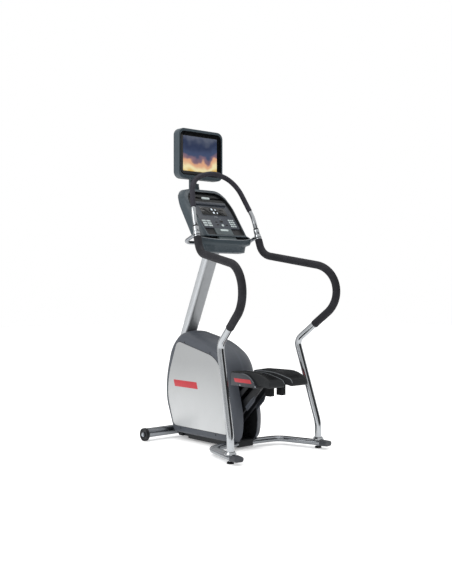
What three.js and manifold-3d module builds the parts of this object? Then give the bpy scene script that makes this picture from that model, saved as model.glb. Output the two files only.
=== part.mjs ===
// Stair climber: a free-standing gym stepper with two levelled pedals, an arched
// handrail, a mast with a console and a screen. Millimetres, +Z up, +X to the user's
// right; the user stands at the -Y end and faces +Y. The origin is the centre of the
// machine's footprint, on the floor.
import * as THREE from 'three';
import { mergeVertices } from 'three/addons/utils/BufferGeometryUtils.js';
import Module from 'manifold-3d';

const wasm = await Module();
wasm.setup();

// ---------------------------------------------------------------- driving sizes
const GAP = 0.3;                       // running gap between touching pieces
const TUBE_SIDES = 10;

const RAIL_RADIUS = 20.6;              // handrail tube
const GRIP_RADIUS = 23.6;              // rubber over it
const ARCH_CORE_RADIUS = 11;           // thinner tube of the arch
const ARCH_GRIP_RADIUS = 16.2;
const LOWER_SENSOR_RADIUS = 18.2;
const UPPER_SENSOR_RADIUS = 13.9;
const RING_RADIUS = 16.4;
const GRIP_START_Z = 747;
const GRIP_END_Z = 1279;
const RAIL_TOP_Z = 1305;
const RING_BOTTOM_Z = 1338.5;
const RING_TOP_Z = 1346;
const UPPER_SENSOR_TOP_Z = 1456;

const FOOT_X = 355;
const FOOT_Y = -384;
const FOOT_RADIUS = 21;
const FOOT_HEIGHT = 18;
const BASE_CENTRE_Z = 34;
const BASE_WIDTH = 58;
const BASE_HEIGHT = 32;
const END_CAP_LENGTH = 46;
const END_CAP_MARGIN = 4;
const COLLAR_TOP_Z = 66;

const WHEEL_RADIUS = 41;
const WHEEL_WIDTH = 25;
const WHEEL_OUTER_X = 320;
const WHEEL_Y = 491;
const STABILIZER_RADIUS = 30;
const STABILIZER_Z = 49;
const AXLE_RADIUS = 6;

const SPINE_HALF_WIDTH = 40;
const SPINE_TOP_Z = 46;
const PLATE_INNER_X = 78;              // side plates that carry the pedal drive
const PLATE_THICKNESS = 6;

const SHROUD_HALF_WIDTH = 120;
const SHROUD_EDGE_DEPTH = 60;          // how far in from the side the rounding starts
const SHROUD_EDGE_INSET = 38;          // how much the side is smaller than the middle
const SHROUD_WALL = 5;
const SHROUD_FLOOR_Z = 50;
const SLOT_HALF_WIDTH = 58;
const SLOT_TOP_Z = 462;
const SIDE_PANEL_THICKNESS = 2.5;

const ARM_PIVOT = { y: 11, z: 125 };       // pedal arm's shaft
const PEDAL_PIVOT = { y: -284, z: 395 };   // arm's rear end, under the pedal
const LINK_OFFSET = { y: 52, z: 30 };      // levelling link runs parallel at this offset
const ARM_INNER_X = 24;
const ARM_WIDTH = 16;
const EAR_INNER_X = 42;
const EAR_WIDTH = 5;
const LINK_INNER_X = 49;
const LINK_WIDTH = 6;
const PIN_RADIUS = 7;
const SHAFT_RADIUS = 12;

const PEDAL_INNER_X = 30;
const PEDAL_OUTER_X = 155;
const PEDAL_TOP_Z = 487;

const STEP_SHAFT = { y: 140, z: 365 };     // clutches and the large pulley
const LARGE_PULLEY_RADIUS = 95;
const ALTERNATOR = { y: 276, z: 165 };
const SMALL_PULLEY_RADIUS = 25;
const BELT_HALF_WIDTH = 7;
const BELT_THICKNESS = 3;
const CLUTCH_RADIUS = 32;
const SPRING_RADIUS = 13;
const SPRING_BOTTOM_Z = 60;
const SPRING_TOP_Z = 240;

const CONSOLE_LEAN = 29.3 * Math.PI / 180; // face leans away from the user
const CONSOLE_FOOT = { y: 111, z: 1274 };  // lower front edge of the console shell
const CONSOLE_THICKNESS = 42;
const TRAY_TOP_Z = 1273;
const TRAY_STEP_Z = 1232;              // the tray is narrower below this height
const TRAY_BOTTOM_Z = 1184;

const SCREEN_CENTRE_Z = 1818;
const SCREEN_FRONT_Y = 301;
const SCREEN_HALF_WIDTH = 171;
const SCREEN_HALF_HEIGHT = 158;
const SCREEN_DEPTH = 62;
const POST_Y = 363;
const POST_RADIUS = 24;
const TILT_AXIS = { y: 392, z: 1800 };

// ---------------------------------------------------------------- materials
const paint = (colour, roughness, metalness) =>
  new THREE.MeshStandardMaterial({ color: colour, roughness, metalness });
const chrome = () => paint(0xd4d6d8, 0.12, 1);
const satinSilver = () => paint(0xb4b7ba, 0.35, 0.9);
const steel = () => paint(0x8d9196, 0.4, 0.9);
const charcoal = () => paint(0x3b3f48, 0.55, 0);
const slate = () => paint(0x43505a, 0.5, 0);
const blackPlastic = () => paint(0x17181b, 0.55, 0);
const glossBlack = () => paint(0x0b0c0e, 0.15, 0);
const rubber = () => paint(0x2a2a2e, 0.9, 0);
const silverPanel = () => paint(0xc3c6c8, 0.45, 0.4);
const darkPaint = () => paint(0x202227, 0.5, 0.3);

// ---------------------------------------------------------------- solids
const part = new THREE.Group();

function add(name, geometry, material) {
  const mesh = new THREE.Mesh(geometry, material);
  mesh.name = name;
  part.add(mesh);
}

function solid(geometry) {
  const bare = geometry.clone();
  bare.deleteAttribute('normal');
  bare.deleteAttribute('uv');
  const merged = mergeVertices(bare, 1e-4);
  return new wasm.Manifold(new wasm.Mesh({
    numProp: 3,
    vertProperties: new Float32Array(merged.attributes.position.array),
    triVerts: new Uint32Array(merged.index.array),
  }));
}

function geometryOf(manifold) {
  const { vertProperties, triVerts } = manifold.getMesh();
  const geometry = new THREE.BufferGeometry();
  geometry.setAttribute('position', new THREE.BufferAttribute(new Float32Array(vertProperties), 3));
  geometry.setIndex(new THREE.BufferAttribute(new Uint32Array(triVerts), 1));
  geometry.computeVertexNormals();
  return geometry;
}

function cut(geometry, ...tools) {
  return geometryOf(tools.reduce((body, tool) => body.subtract(solid(tool)), solid(geometry)));
}

function join(...geometries) {
  const [first, ...rest] = geometries.map(solid);
  return geometryOf(rest.reduce((body, other) => body.add(other), first));
}

function box(x0, x1, y0, y1, z0, z1) {
  const geometry = new THREE.BoxGeometry(x1 - x0, y1 - y0, z1 - z0);
  return geometry.translate((x0 + x1) / 2, (y0 + y1) / 2, (z0 + z1) / 2);
}

function discAlongX(radius, x0, x1, y, z, sides = 20) {
  const geometry = new THREE.CylinderGeometry(radius, radius, x1 - x0, sides);
  return geometry.rotateZ(Math.PI / 2).translate((x0 + x1) / 2, y, z);
}

function uprightDisc(bottomRadius, topRadius, x, y, z0, z1, sides = 20) {
  const geometry = new THREE.CylinderGeometry(topRadius, bottomRadius, z1 - z0, sides);
  return geometry.rotateX(Math.PI / 2).translate(x, y, (z0 + z1) / 2);
}

// A side profile in (y, z), extruded along X from x0 to x1.
function slabAlongX(shape, x0, x1, options = {}) {
  const settings = { depth: x1 - x0, bevelEnabled: false, curveSegments: 6, ...options };
  const geometry = new THREE.ExtrudeGeometry(shape, settings);
  const axes = new THREE.Matrix4().makeBasis(
    new THREE.Vector3(0, 1, 0), new THREE.Vector3(0, 0, 1), new THREE.Vector3(1, 0, 0));
  return geometry.applyMatrix4(axes).translate(x0, 0, 0);
}

function mirrored(geometry) {
  const flipped = geometry.index ? geometry.toNonIndexed() : geometry.clone();
  flipped.applyMatrix4(new THREE.Matrix4().makeScale(-1, 1, 1));
  const { array } = flipped.attributes.position;
  for (let i = 0; i < array.length; i += 9) {
    for (let k = 0; k < 3; k++) {
      [array[i + 3 + k], array[i + 6 + k]] = [array[i + 6 + k], array[i + 3 + k]];
    }
  }
  flipped.deleteAttribute('normal');
  flipped.deleteAttribute('uv');
  return mergeVertices(flipped, 1e-4);
}

// Adds NAME_right at +X and its mirror image NAME_left.
function addPair(name, geometry, material) {
  add(`${name}_right`, geometry, material());
  add(`${name}_left`, mirrored(geometry), material());
}

// A closed outline with rounded corners; each corner is [x, y, radius].
function roundedOutline(corners) {
  const shape = new THREE.Shape();
  const count = corners.length;
  corners.forEach(([x, y, radius], i) => {
    const here = new THREE.Vector2(x, y);
    const before = new THREE.Vector2(...corners[(i + count - 1) % count]);
    const after = new THREE.Vector2(...corners[(i + 1) % count]);
    const start = here.clone().add(before.sub(here).setLength(radius));
    const end = here.clone().add(after.sub(here).setLength(radius));
    if (i === 0) shape.moveTo(start.x, start.y);
    else shape.lineTo(start.x, start.y);
    if (radius > 0) shape.quadraticCurveTo(x, y, end.x, end.y);
  });
  shape.closePath();
  return shape;
}

function roundedRectangle(width, height, radius) {
  const w = width / 2;
  const h = height / 2;
  return roundedOutline([[-w, -h, radius], [w, -h, radius], [w, h, radius], [-w, h, radius]]);
}

function circle(radius, hole = 0) {
  const shape = new THREE.Shape().absarc(0, 0, radius, 0, 2 * Math.PI);
  if (hole > 0) shape.holes.push(new THREE.Path().absarc(0, 0, hole, 0, 2 * Math.PI));
  return shape;
}

// A tube's centre line as a bender makes it: straight runs joined by arcs. Corners are
// [x, y, z, bend radius]; the two ends have no radius.
class BentLine extends THREE.Curve {
  constructor(corners, degreesPerStep = 20) {
    super();
    const points = corners.map(([x, y, z]) => new THREE.Vector3(x, y, z));
    this.knots = [points[0]];
    for (let i = 1; i < points.length - 1; i++) {
      const back = points[i - 1].clone().sub(points[i]).normalize();
      const ahead = points[i + 1].clone().sub(points[i]).normalize();
      const halfAngle = back.angleTo(ahead) / 2;
      const radius = corners[i][3];
      const middle = back.clone().add(ahead).normalize();
      const centre = points[i].clone().addScaledVector(middle, radius / Math.sin(halfAngle));
      const start = points[i].clone().addScaledVector(back, radius / Math.tan(halfAngle));
      const end = points[i].clone().addScaledVector(ahead, radius / Math.tan(halfAngle));
      const turn = Math.PI - 2 * halfAngle;
      const steps = Math.max(1, Math.ceil(turn * 180 / Math.PI / degreesPerStep));
      const from = start.sub(centre);
      const to = end.sub(centre);
      for (let k = 0; k <= steps; k++) {
        const share = k / steps;
        const spoke = from.clone().multiplyScalar(Math.sin((1 - share) * turn) / Math.sin(turn));
        spoke.addScaledVector(to, Math.sin(share * turn) / Math.sin(turn));
        this.knots.push(centre.clone().add(spoke));
      }
    }
    this.knots.push(points[points.length - 1]);
    this.steps = this.knots.length - 1;
  }

  getPoint(t, target = new THREE.Vector3()) {
    const place = Math.min(t * this.steps, this.steps);
    const index = Math.min(Math.floor(place), this.steps - 1);
    return target.lerpVectors(this.knots[index], this.knots[index + 1], place - index);
  }

  getTangent(t, target = new THREE.Vector3()) {
    const index = Math.round(t * this.steps);
    const before = this.knots[Math.max(index - 1, 0)];
    const here = this.knots[index];
    const after = this.knots[Math.min(index + 1, this.steps)];
    const incoming = index > 0 ? here.clone().sub(before).normalize() : new THREE.Vector3();
    const outgoing = index < this.steps ? after.clone().sub(here).normalize() : new THREE.Vector3();
    return target.copy(incoming).add(outgoing).normalize();
  }

  getUtoTmapping(u) {
    return u;
  }
}

function sweep(section, corners, curveSegments = TUBE_SIDES / 2) {
  const extrudePath = new BentLine(corners);
  return new THREE.ExtrudeGeometry(section, { steps: extrudePath.steps, extrudePath, curveSegments });
}

function pointAtHeight([x0, y0, z0], [x1, y1, z1], z) {
  const share = (z - z0) / (z1 - z0);
  return [x0 + (x1 - x0) * share, y0 + (y1 - y0) * share, z];
}

// ---------------------------------------------------------------- base
const BASE_END = [362, -463];
const BASE_KNEE = [350, -384];
const BASE_CORNER = [272, -126];
const BASE_MIDDLE_Y = -79;
const legDirection = new THREE.Vector2(...BASE_END).sub(new THREE.Vector2(...BASE_KNEE)).normalize();

function flatOval(width, height) {
  return roundedOutline([
    [-height / 2, -width / 2, height / 2], [height / 2, -width / 2, height / 2],
    [height / 2, width / 2, height / 2], [-height / 2, width / 2, height / 2]]);
}

function rearBase() {
  const tubeEnd = new THREE.Vector2(...BASE_END).addScaledVector(legDirection, -END_CAP_LENGTH - GAP);
  const half = [
    [tubeEnd.x, tubeEnd.y, BASE_CENTRE_Z],
    [...BASE_KNEE, BASE_CENTRE_Z, 150],
    [...BASE_CORNER, BASE_CENTRE_Z, 90]];
  const otherHalf = half.map(([x, ...rest]) => [-x, ...rest]).reverse();
  const corners = [...half, [0, BASE_MIDDLE_Y, BASE_CENTRE_Z, 900], ...otherHalf];
  return sweep(flatOval(BASE_WIDTH, BASE_HEIGHT), corners, 3);
}

function endCap() {
  const start = new THREE.Vector2(...BASE_END).addScaledVector(legDirection, -END_CAP_LENGTH);
  const section = flatOval(BASE_WIDTH + 2 * END_CAP_MARGIN, BASE_HEIGHT);
  const line = [[start.x, start.y, BASE_CENTRE_Z], [...BASE_END, BASE_CENTRE_Z]];
  return sweep(section, line, 3);
}

function levelingFoot() {
  const stem = uprightDisc(6, 6, FOOT_X, FOOT_Y, FOOT_HEIGHT - 8, FOOT_HEIGHT - 2 * GAP, 12);
  const pad = uprightDisc(FOOT_RADIUS, FOOT_RADIUS - 3, FOOT_X, FOOT_Y, 0, FOOT_HEIGHT - 6);
  return join(pad, stem);
}

function stabilizer() {
  const end = WHEEL_OUTER_X - WHEEL_WIDTH - 2;
  return discAlongX(STABILIZER_RADIUS, -end, end, WHEEL_Y, STABILIZER_Z, 24);
}

function wheel() {
  const inner = WHEEL_OUTER_X - WHEEL_WIDTH;
  const profile = [
    [AXLE_RADIUS + GAP, 0], [WHEEL_RADIUS - 5, 0], [WHEEL_RADIUS, 5],
    [WHEEL_RADIUS, WHEEL_WIDTH - 5], [WHEEL_RADIUS - 5, WHEEL_WIDTH],
    [AXLE_RADIUS + GAP, WHEEL_WIDTH], [AXLE_RADIUS + GAP, 0]];
  const geometry = new THREE.LatheGeometry(profile.map(([r, h]) => new THREE.Vector2(r, h)), 28);
  return geometry.rotateZ(-Math.PI / 2).translate(inner, WHEEL_Y, WHEEL_RADIUS);
}

function wheelBolt() {
  const inner = WHEEL_OUTER_X - WHEEL_WIDTH - 2 + GAP;
  const shank = discAlongX(AXLE_RADIUS, inner, WHEEL_OUTER_X + 3, WHEEL_Y, WHEEL_RADIUS, 12);
  const head = discAlongX(15, WHEEL_OUTER_X + 1, WHEEL_OUTER_X + 7, WHEEL_Y, WHEEL_RADIUS, 6);
  return join(shank, head);
}

function spineWeldment() {
  const front = WHEEL_Y - STABILIZER_RADIUS - GAP;
  const rear = BASE_MIDDLE_Y + BASE_WIDTH / 2 + 1;
  const tube = box(-SPINE_HALF_WIDTH, SPINE_HALF_WIDTH, rear, front, 14, SPINE_TOP_Z);
  const outer = PLATE_INNER_X + PLATE_THICKNESS;
  const floorPlate = box(-outer, outer, -25, 330, 14, 22);
  const profile = roundedOutline([
    [-25, 14, 0], [330, 14, 0], [330, 60, 20], [185, 395, 30], [100, 395, 30], [-25, 170, 30]]);
  const plate = slabAlongX(profile, PLATE_INNER_X, outer);
  const pin = discAlongX(PIN_RADIUS, LINK_INNER_X - 2, PLATE_INNER_X + 2,
    ARM_PIVOT.y + LINK_OFFSET.y, ARM_PIVOT.z + LINK_OFFSET.z, 16);
  return join(tube, floorPlate, plate, mirrored(plate), pin, mirrored(pin));
}

add('front_stabilizer_tube', stabilizer(), satinSilver());
add('base_spine', spineWeldment(), darkPaint());
add('rear_base_arc', rearBase(), satinSilver());
addPair('rear_end_cap', endCap(), charcoal);
addPair('leveling_foot', levelingFoot(), rubber);
addPair('transport_wheel', wheel(), blackPlastic);
addPair('wheel_bolt', wheelBolt(), steel);

// ---------------------------------------------------------------- handrails and arch
const RAIL_FOOT = [FOOT_X, FOOT_Y, BASE_CENTRE_Z + BASE_HEIGHT / 2 + GAP];
const RAIL_KNEE = [FOOT_X, FOOT_Y, 150, 300];
const RAIL_LOWER_BEND = [318, -246, 649, 61];
const RAIL_REAR_BEND = [431, -715, 1049, 163];
const RAIL_FRONT_BEND = [255, 4, 1179, 97];
const RAIL_JOINT_BEND = [243, 77, 1416, 300];
const ARCH_SHOULDER = [169, 169, 1641, 165];
const ARCH_CROWN = [0, 169, 1681, 230];
const railNeck = (z) => pointAtHeight(RAIL_FRONT_BEND, RAIL_JOINT_BEND, z);
const archLeg = (z) => pointAtHeight(RAIL_JOINT_BEND, ARCH_SHOULDER, z);
const otherSide = (corners) => corners.map(([x, ...rest]) => [-x, ...rest]).reverse();

// A sleeve whose many-sided bore clears the many-sided tube inside it at any turn.
function sleeve(outer, inner, corners) {
  const bore = (inner + GAP) / Math.cos(Math.PI / TUBE_SIDES);
  return sweep(circle(outer, bore), corners);
}

function handrail() {
  const corners = [RAIL_FOOT, RAIL_KNEE, RAIL_LOWER_BEND, RAIL_REAR_BEND, RAIL_FRONT_BEND,
    railNeck(RAIL_TOP_Z)];
  return sweep(circle(RAIL_RADIUS), corners);
}

function handrailGrip() {
  const start = pointAtHeight(RAIL_LOWER_BEND, RAIL_REAR_BEND, GRIP_START_Z);
  const corners = [start, RAIL_REAR_BEND, RAIL_FRONT_BEND, railNeck(GRIP_END_Z)];
  return sleeve(GRIP_RADIUS, RAIL_RADIUS, corners);
}

function collar() {
  const bottom = RAIL_FOOT[2] + GAP;
  const body = uprightDisc(35, 27, FOOT_X, FOOT_Y, bottom, COLLAR_TOP_Z, 24);
  const bore = uprightDisc(RAIL_RADIUS + GAP, RAIL_RADIUS + GAP, FOOT_X, FOOT_Y, 0, 100, 24);
  return cut(body, bore);
}

function archTube() {
  const leg = [railNeck(RAIL_TOP_Z + GAP), RAIL_JOINT_BEND, ARCH_SHOULDER];
  return sweep(circle(ARCH_CORE_RADIUS), [...leg, ARCH_CROWN, ...otherSide(leg)]);
}

function archGrip() {
  const leg = [archLeg(UPPER_SENSOR_TOP_Z + 1), ARCH_SHOULDER];
  return sleeve(ARCH_GRIP_RADIUS, ARCH_CORE_RADIUS, [...leg, ARCH_CROWN, ...otherSide(leg)]);
}

addPair('upright_collar', collar(), chrome);
addPair('handrail', handrail(), chrome);
addPair('handrail_grip', handrailGrip(), rubber);
addPair('lower_pulse_sensor', sleeve(LOWER_SENSOR_RADIUS, ARCH_CORE_RADIUS,
  [railNeck(RAIL_TOP_Z + 2 * GAP), railNeck(RING_BOTTOM_Z - GAP)]), chrome);
addPair('sensor_ring', sleeve(RING_RADIUS, ARCH_CORE_RADIUS,
  [railNeck(RING_BOTTOM_Z), railNeck(RING_TOP_Z)]), blackPlastic);
addPair('upper_pulse_sensor', sleeve(UPPER_SENSOR_RADIUS, ARCH_CORE_RADIUS,
  [railNeck(RING_TOP_Z + GAP), RAIL_JOINT_BEND, archLeg(UPPER_SENSOR_TOP_Z)]), chrome);
add('arch_tube', archTube(), steel());
add('arch_grip', archGrip(), rubber());

// ---------------------------------------------------------------- mast and bracket
const MAST_FOOT = [0, 402, SPINE_TOP_Z + 9];
const MAST_BEND = [0, 465, 600, 220];
const MAST_TOP = [0, 100, 1413];
const MAST_DEPTH = 98;
const MAST_WIDTH = 60;
const SPINE_PLATE_THICKNESS = 14;        // plate behind the console, between mast and screen post
const BRACKET_RADIUS = 11;
const BRACKET_Y = 166;
const BRACKET_Z = 1248;
const BRACKET_JOINT_Z = 1288;

function bracketTube(radius) {
  const [x, y] = railNeck(BRACKET_JOINT_Z);
  const start = [x, y + RAIL_RADIUS + 3, BRACKET_JOINT_Z];
  const corners = [start, [x, BRACKET_Y, BRACKET_Z, 45]];
  return sweep(circle(radius), [...corners, ...otherSide(corners)]);
}

// A block whose front face is the plane that the console leans on.
function behindConsole(clearance) {
  const block = box(-300, 300, -600, CONSOLE_THICKNESS + clearance, -300, 900);
  return block.rotateX(-CONSOLE_LEAN).translate(0, CONSOLE_FOOT.y, CONSOLE_FOOT.z);
}

function mast() {
  const section = roundedRectangle(MAST_WIDTH, MAST_DEPTH, 22);
  const tube = sweep(section, [MAST_FOOT, MAST_BEND, MAST_TOP]);
  return cut(tube, behindConsole(SPINE_PLATE_THICKNESS + 2 * GAP), bracketTube(BRACKET_RADIUS + GAP));
}

add('mast', mast(), satinSilver());
add('console_bracket_tube', bracketTube(BRACKET_RADIUS), satinSilver());

// ---------------------------------------------------------------- shroud
// Corners in (y, z) of the widest outline; the sides are this outline drawn in by the
// rounding of the edges.
const SHROUD_OUTLINE = [
  [-172, -10, 65], [-188, 190, 70], [-134, 375, 80], [-70, 560, 90], [100, 648, 60],
  [366, 702, 40], [470, 610, 80], [531, 390, 85], [528, 240, 60], [430, -10, 60]];
const SIDE_PANEL_OUTLINE = [
  [-90, 92, 12], [-52, 330, 60], [-26, 500, 50], [46, 556, 40], [374, 628, 40],
  [470, 420, 60], [486, 280, 60], [408, 92, 30]];

function shroudBlock(inset) {
  return slabAlongX(roundedOutline(SHROUD_OUTLINE), 0, SHROUD_HALF_WIDTH - SHROUD_EDGE_DEPTH, {
    bevelEnabled: true,
    bevelThickness: SHROUD_EDGE_DEPTH - inset,
    bevelSize: SHROUD_EDGE_INSET - inset,
    bevelOffset: -SHROUD_EDGE_INSET,
    bevelSegments: 3,
    curveSegments: 3,
  });
}

function shroudHalf() {
  const inside = box(-1, SHROUD_HALF_WIDTH - SHROUD_WALL, -600, 600, -50, 900);
  const hollow = geometryOf(solid(shroudBlock(SHROUD_WALL)).intersect(solid(inside)));
  const otherHalf = box(-400, GAP / 2, -700, 700, -50, 900);
  const floor = box(-400, 400, -700, 700, -50, SHROUD_FLOOR_Z);
  const slot = box(-SLOT_HALF_WIDTH, SLOT_HALF_WIDTH, -300, -60, 0, SLOT_TOP_Z);
  const mastHole = sweep(roundedRectangle(MAST_WIDTH + 4, MAST_DEPTH + 4, 22),
    [MAST_FOOT, MAST_BEND, MAST_TOP]);
  return cut(shroudBlock(0), otherHalf, hollow, floor, slot, mastHole);
}

function sidePanel() {
  const x = SHROUD_HALF_WIDTH + GAP;
  return slabAlongX(roundedOutline(SIDE_PANEL_OUTLINE), x, x + SIDE_PANEL_THICKNESS);
}

addPair('shroud', shroudHalf(), charcoal);
addPair('side_panel', sidePanel(), silverPanel);

// ---------------------------------------------------------------- pedal linkage
const armVector = new THREE.Vector2(PEDAL_PIVOT.y - ARM_PIVOT.y, PEDAL_PIVOT.z - ARM_PIVOT.z);
const ARM_LENGTH = armVector.length();
const ARM_ANGLE = armVector.angle();

// A bar between two bores: rounded ends, wider at the first bore, lying along +Y.
function barShape(length, startRadius, endRadius, startBore, endBore) {
  const shape = new THREE.Shape();
  const slope = Math.asin((startRadius - endRadius) / length);
  shape.absarc(0, 0, startRadius, Math.PI / 2 - slope, 3 * Math.PI / 2 + slope);
  shape.absarc(length, 0, endRadius, slope - Math.PI / 2, Math.PI / 2 - slope);
  shape.closePath();
  shape.holes.push(new THREE.Path().absarc(0, 0, startBore + GAP, 0, 2 * Math.PI));
  shape.holes.push(new THREE.Path().absarc(length, 0, endBore + GAP, 0, 2 * Math.PI));
  return shape;
}

function barBetween(start, shape, x0, width) {
  const bar = slabAlongX(shape, x0, x0 + width, { curveSegments: 8 });
  return bar.rotateX(ARM_ANGLE).translate(0, start.y, start.z);
}

function pedalArm() {
  const shape = barShape(ARM_LENGTH, 38, 19, SHAFT_RADIUS, PIN_RADIUS);
  return barBetween(ARM_PIVOT, shape, ARM_INNER_X, ARM_WIDTH);
}

function levelingLink() {
  const start = { y: ARM_PIVOT.y + LINK_OFFSET.y, z: ARM_PIVOT.z + LINK_OFFSET.z };
  const shape = barShape(ARM_LENGTH, 15, 13, PIN_RADIUS, PIN_RADIUS);
  return barBetween(start, shape, LINK_INNER_X, LINK_WIDTH);
}

// Side profile of the pedal: flat footbed, heel falling away, hull rising to the toe.
function pedalProfile() {
  const top = PEDAL_TOP_Z;
  return roundedOutline([
    [-152, top, 20], [-345, top, 60], [-474, top - 38, 24], [-490, top - 84, 18],
    [-380, top - 68, 40], [-160, top - 72, 20]]);
}

function pedal() {
  const bevel = 7;
  const hull = slabAlongX(pedalProfile(), PEDAL_INNER_X + bevel, PEDAL_OUTER_X - bevel, {
    bevelEnabled: true,
    bevelThickness: bevel,
    bevelSize: bevel,
    bevelOffset: -bevel,
    bevelSegments: 2,
    curveSegments: 4,
  });
  const ear = slabAlongX(roundedOutline([
    [PEDAL_PIVOT.y - 22, PEDAL_PIVOT.z - 20, 16], [PEDAL_PIVOT.y + 20, PEDAL_PIVOT.z - 20, 16],
    [PEDAL_PIVOT.y + 74, PEDAL_PIVOT.z + 6, 16], [PEDAL_PIVOT.y + 74, PEDAL_TOP_Z - 20, 0],
    [PEDAL_PIVOT.y - 22, PEDAL_TOP_Z - 20, 0]]), EAR_INNER_X, EAR_INNER_X + EAR_WIDTH);
  const armPin = discAlongX(PIN_RADIUS, ARM_INNER_X - 3, EAR_INNER_X + 1,
    PEDAL_PIVOT.y, PEDAL_PIVOT.z, 16);
  const linkPin = discAlongX(PIN_RADIUS, EAR_INNER_X + 1, LINK_INNER_X + LINK_WIDTH + 2,
    PEDAL_PIVOT.y + LINK_OFFSET.y, PEDAL_PIVOT.z + LINK_OFFSET.z, 16);
  const linkagePocket = box(0, LINK_INNER_X + LINK_WIDTH + 4, PEDAL_PIVOT.y - 26, 0, 300, PEDAL_TOP_Z - 36);
  return join(cut(hull, linkagePocket), ear, armPin, linkPin);
}

function linkCover() {
  const shape = roundedOutline([
    [-393, 402, 8], [-175, 402, 4], [-175, 476, 6], [-330, 476, 60]]);
  return slabAlongX(shape, PEDAL_OUTER_X + GAP, PEDAL_OUTER_X + 13);
}

function stopBumper() {
  const shape = roundedRectangle(36, 46, 9);
  const block = new THREE.ExtrudeGeometry(shape, { depth: 44, bevelEnabled: false, curveSegments: 3 });
  return block.translate(50, -376, 366);
}

function armShaft() {
  return discAlongX(SHAFT_RADIUS, -PLATE_INNER_X + GAP, PLATE_INNER_X - GAP,
    ARM_PIVOT.y, ARM_PIVOT.z);
}

add('arm_shaft', armShaft(), steel());
addPair('pedal_arm', pedalArm(), darkPaint);
addPair('leveling_link', levelingLink(), darkPaint);
addPair('pedal', pedal(), blackPlastic);
addPair('link_cover', linkCover(), charcoal);
addPair('stop_bumper', stopBumper(), rubber);

// ---------------------------------------------------------------- resistance drive
function stepUpShaft() {
  const shaft = discAlongX(9, -PLATE_INNER_X + GAP, PLATE_INNER_X - GAP, STEP_SHAFT.y, STEP_SHAFT.z, 16);
  const pulley = discAlongX(LARGE_PULLEY_RADIUS, -BELT_HALF_WIDTH, BELT_HALF_WIDTH,
    STEP_SHAFT.y, STEP_SHAFT.z, 32);
  return join(shaft, pulley);
}

function clutchSprocket() {
  const shape = circle(CLUTCH_RADIUS, 9 + GAP);
  const body = slabAlongX(shape, ARM_INNER_X, ARM_INNER_X + ARM_WIDTH, { curveSegments: 12 });
  return body.translate(0, STEP_SHAFT.y, STEP_SHAFT.z);
}

function alternatorBody() {
  const body = discAlongX(58, 12, 72, ALTERNATOR.y, ALTERNATOR.z, 24);
  const foot = box(20, 64, ALTERNATOR.y - 40, ALTERNATOR.y + 40, SPINE_TOP_Z + GAP, ALTERNATOR.z);
  return join(body, foot);
}

function alternatorPulley() {
  return discAlongX(SMALL_PULLEY_RADIUS, -BELT_HALF_WIDTH, BELT_HALF_WIDTH + 4,
    ALTERNATOR.y, ALTERNATOR.z, 20);
}

// The loop that runs round two pulleys, drawn as arcs joined by their outer tangents.
function loopPath(largeRadius, smallRadius) {
  const reach = new THREE.Vector2(ALTERNATOR.y - STEP_SHAFT.y, ALTERNATOR.z - STEP_SHAFT.z);
  const along = reach.angle();
  const spread = Math.acos((largeRadius - smallRadius) / reach.length());
  const path = new THREE.Path();
  path.absarc(STEP_SHAFT.y, STEP_SHAFT.z, largeRadius, along + spread, along - spread + 2 * Math.PI);
  path.absarc(ALTERNATOR.y, ALTERNATOR.z, smallRadius, along - spread, along + spread);
  path.closePath();
  return path;
}

function driveBelt() {
  const outer = new THREE.Shape();
  outer.curves = loopPath(LARGE_PULLEY_RADIUS + GAP + BELT_THICKNESS,
    SMALL_PULLEY_RADIUS + GAP + BELT_THICKNESS).curves;
  outer.holes.push(loopPath(LARGE_PULLEY_RADIUS + GAP + 0.2, SMALL_PULLEY_RADIUS + GAP));
  return slabAlongX(outer, 1 - BELT_HALF_WIDTH, BELT_HALF_WIDTH - 1, { curveSegments: 14 });
}

function returnSpring() {
  const x = ARM_INNER_X + ARM_WIDTH / 2;
  return uprightDisc(SPRING_RADIUS, SPRING_RADIUS, x, STEP_SHAFT.y + CLUTCH_RADIUS,
    SPRING_BOTTOM_Z, SPRING_TOP_Z, 12);
}

add('step_up_shaft', stepUpShaft(), steel());
addPair('clutch_sprocket', clutchSprocket(), steel);
add('drive_belt', driveBelt(), rubber());
add('alternator_body', alternatorBody(), steel());
add('alternator_pulley', alternatorPulley(), steel());
addPair('return_spring', returnSpring(), steel);

// ---------------------------------------------------------------- console
// Pieces of the console face are drawn in (x, height along the face) with their depth
// away from the user, then leaned back and set on the console's lower edge.
function onConsoleFace(shape, depth, start, options = {}) {
  const settings = { depth, bevelEnabled: false, curveSegments: 5, ...options };
  const geometry = new THREE.ExtrudeGeometry(shape, settings);
  geometry.rotateX(Math.PI / 2).translate(0, start + depth, 0);
  return geometry.rotateX(-CONSOLE_LEAN).translate(0, CONSOLE_FOOT.y, CONSOLE_FOOT.z);
}

const CONSOLE_OUTLINE = [[-208, 0, 12], [208, 0, 12], [210, 240, 60], [152, 368, 74], [-152, 368, 74],
  [-210, 240, 60]];
const FACE_OUTLINE = [[-184, 16, 6], [184, 16, 6], [186, 232, 50], [136, 346, 60], [-136, 346, 60],
  [-186, 232, 50]];
const FACE_RECESS = 14;

function consoleShell() {
  const body = onConsoleFace(roundedOutline(CONSOLE_OUTLINE), CONSOLE_THICKNESS, 0);
  const recess = onConsoleFace(roundedOutline(FACE_OUTLINE), FACE_RECESS + 6, -6);
  return cut(body, recess);
}

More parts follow.
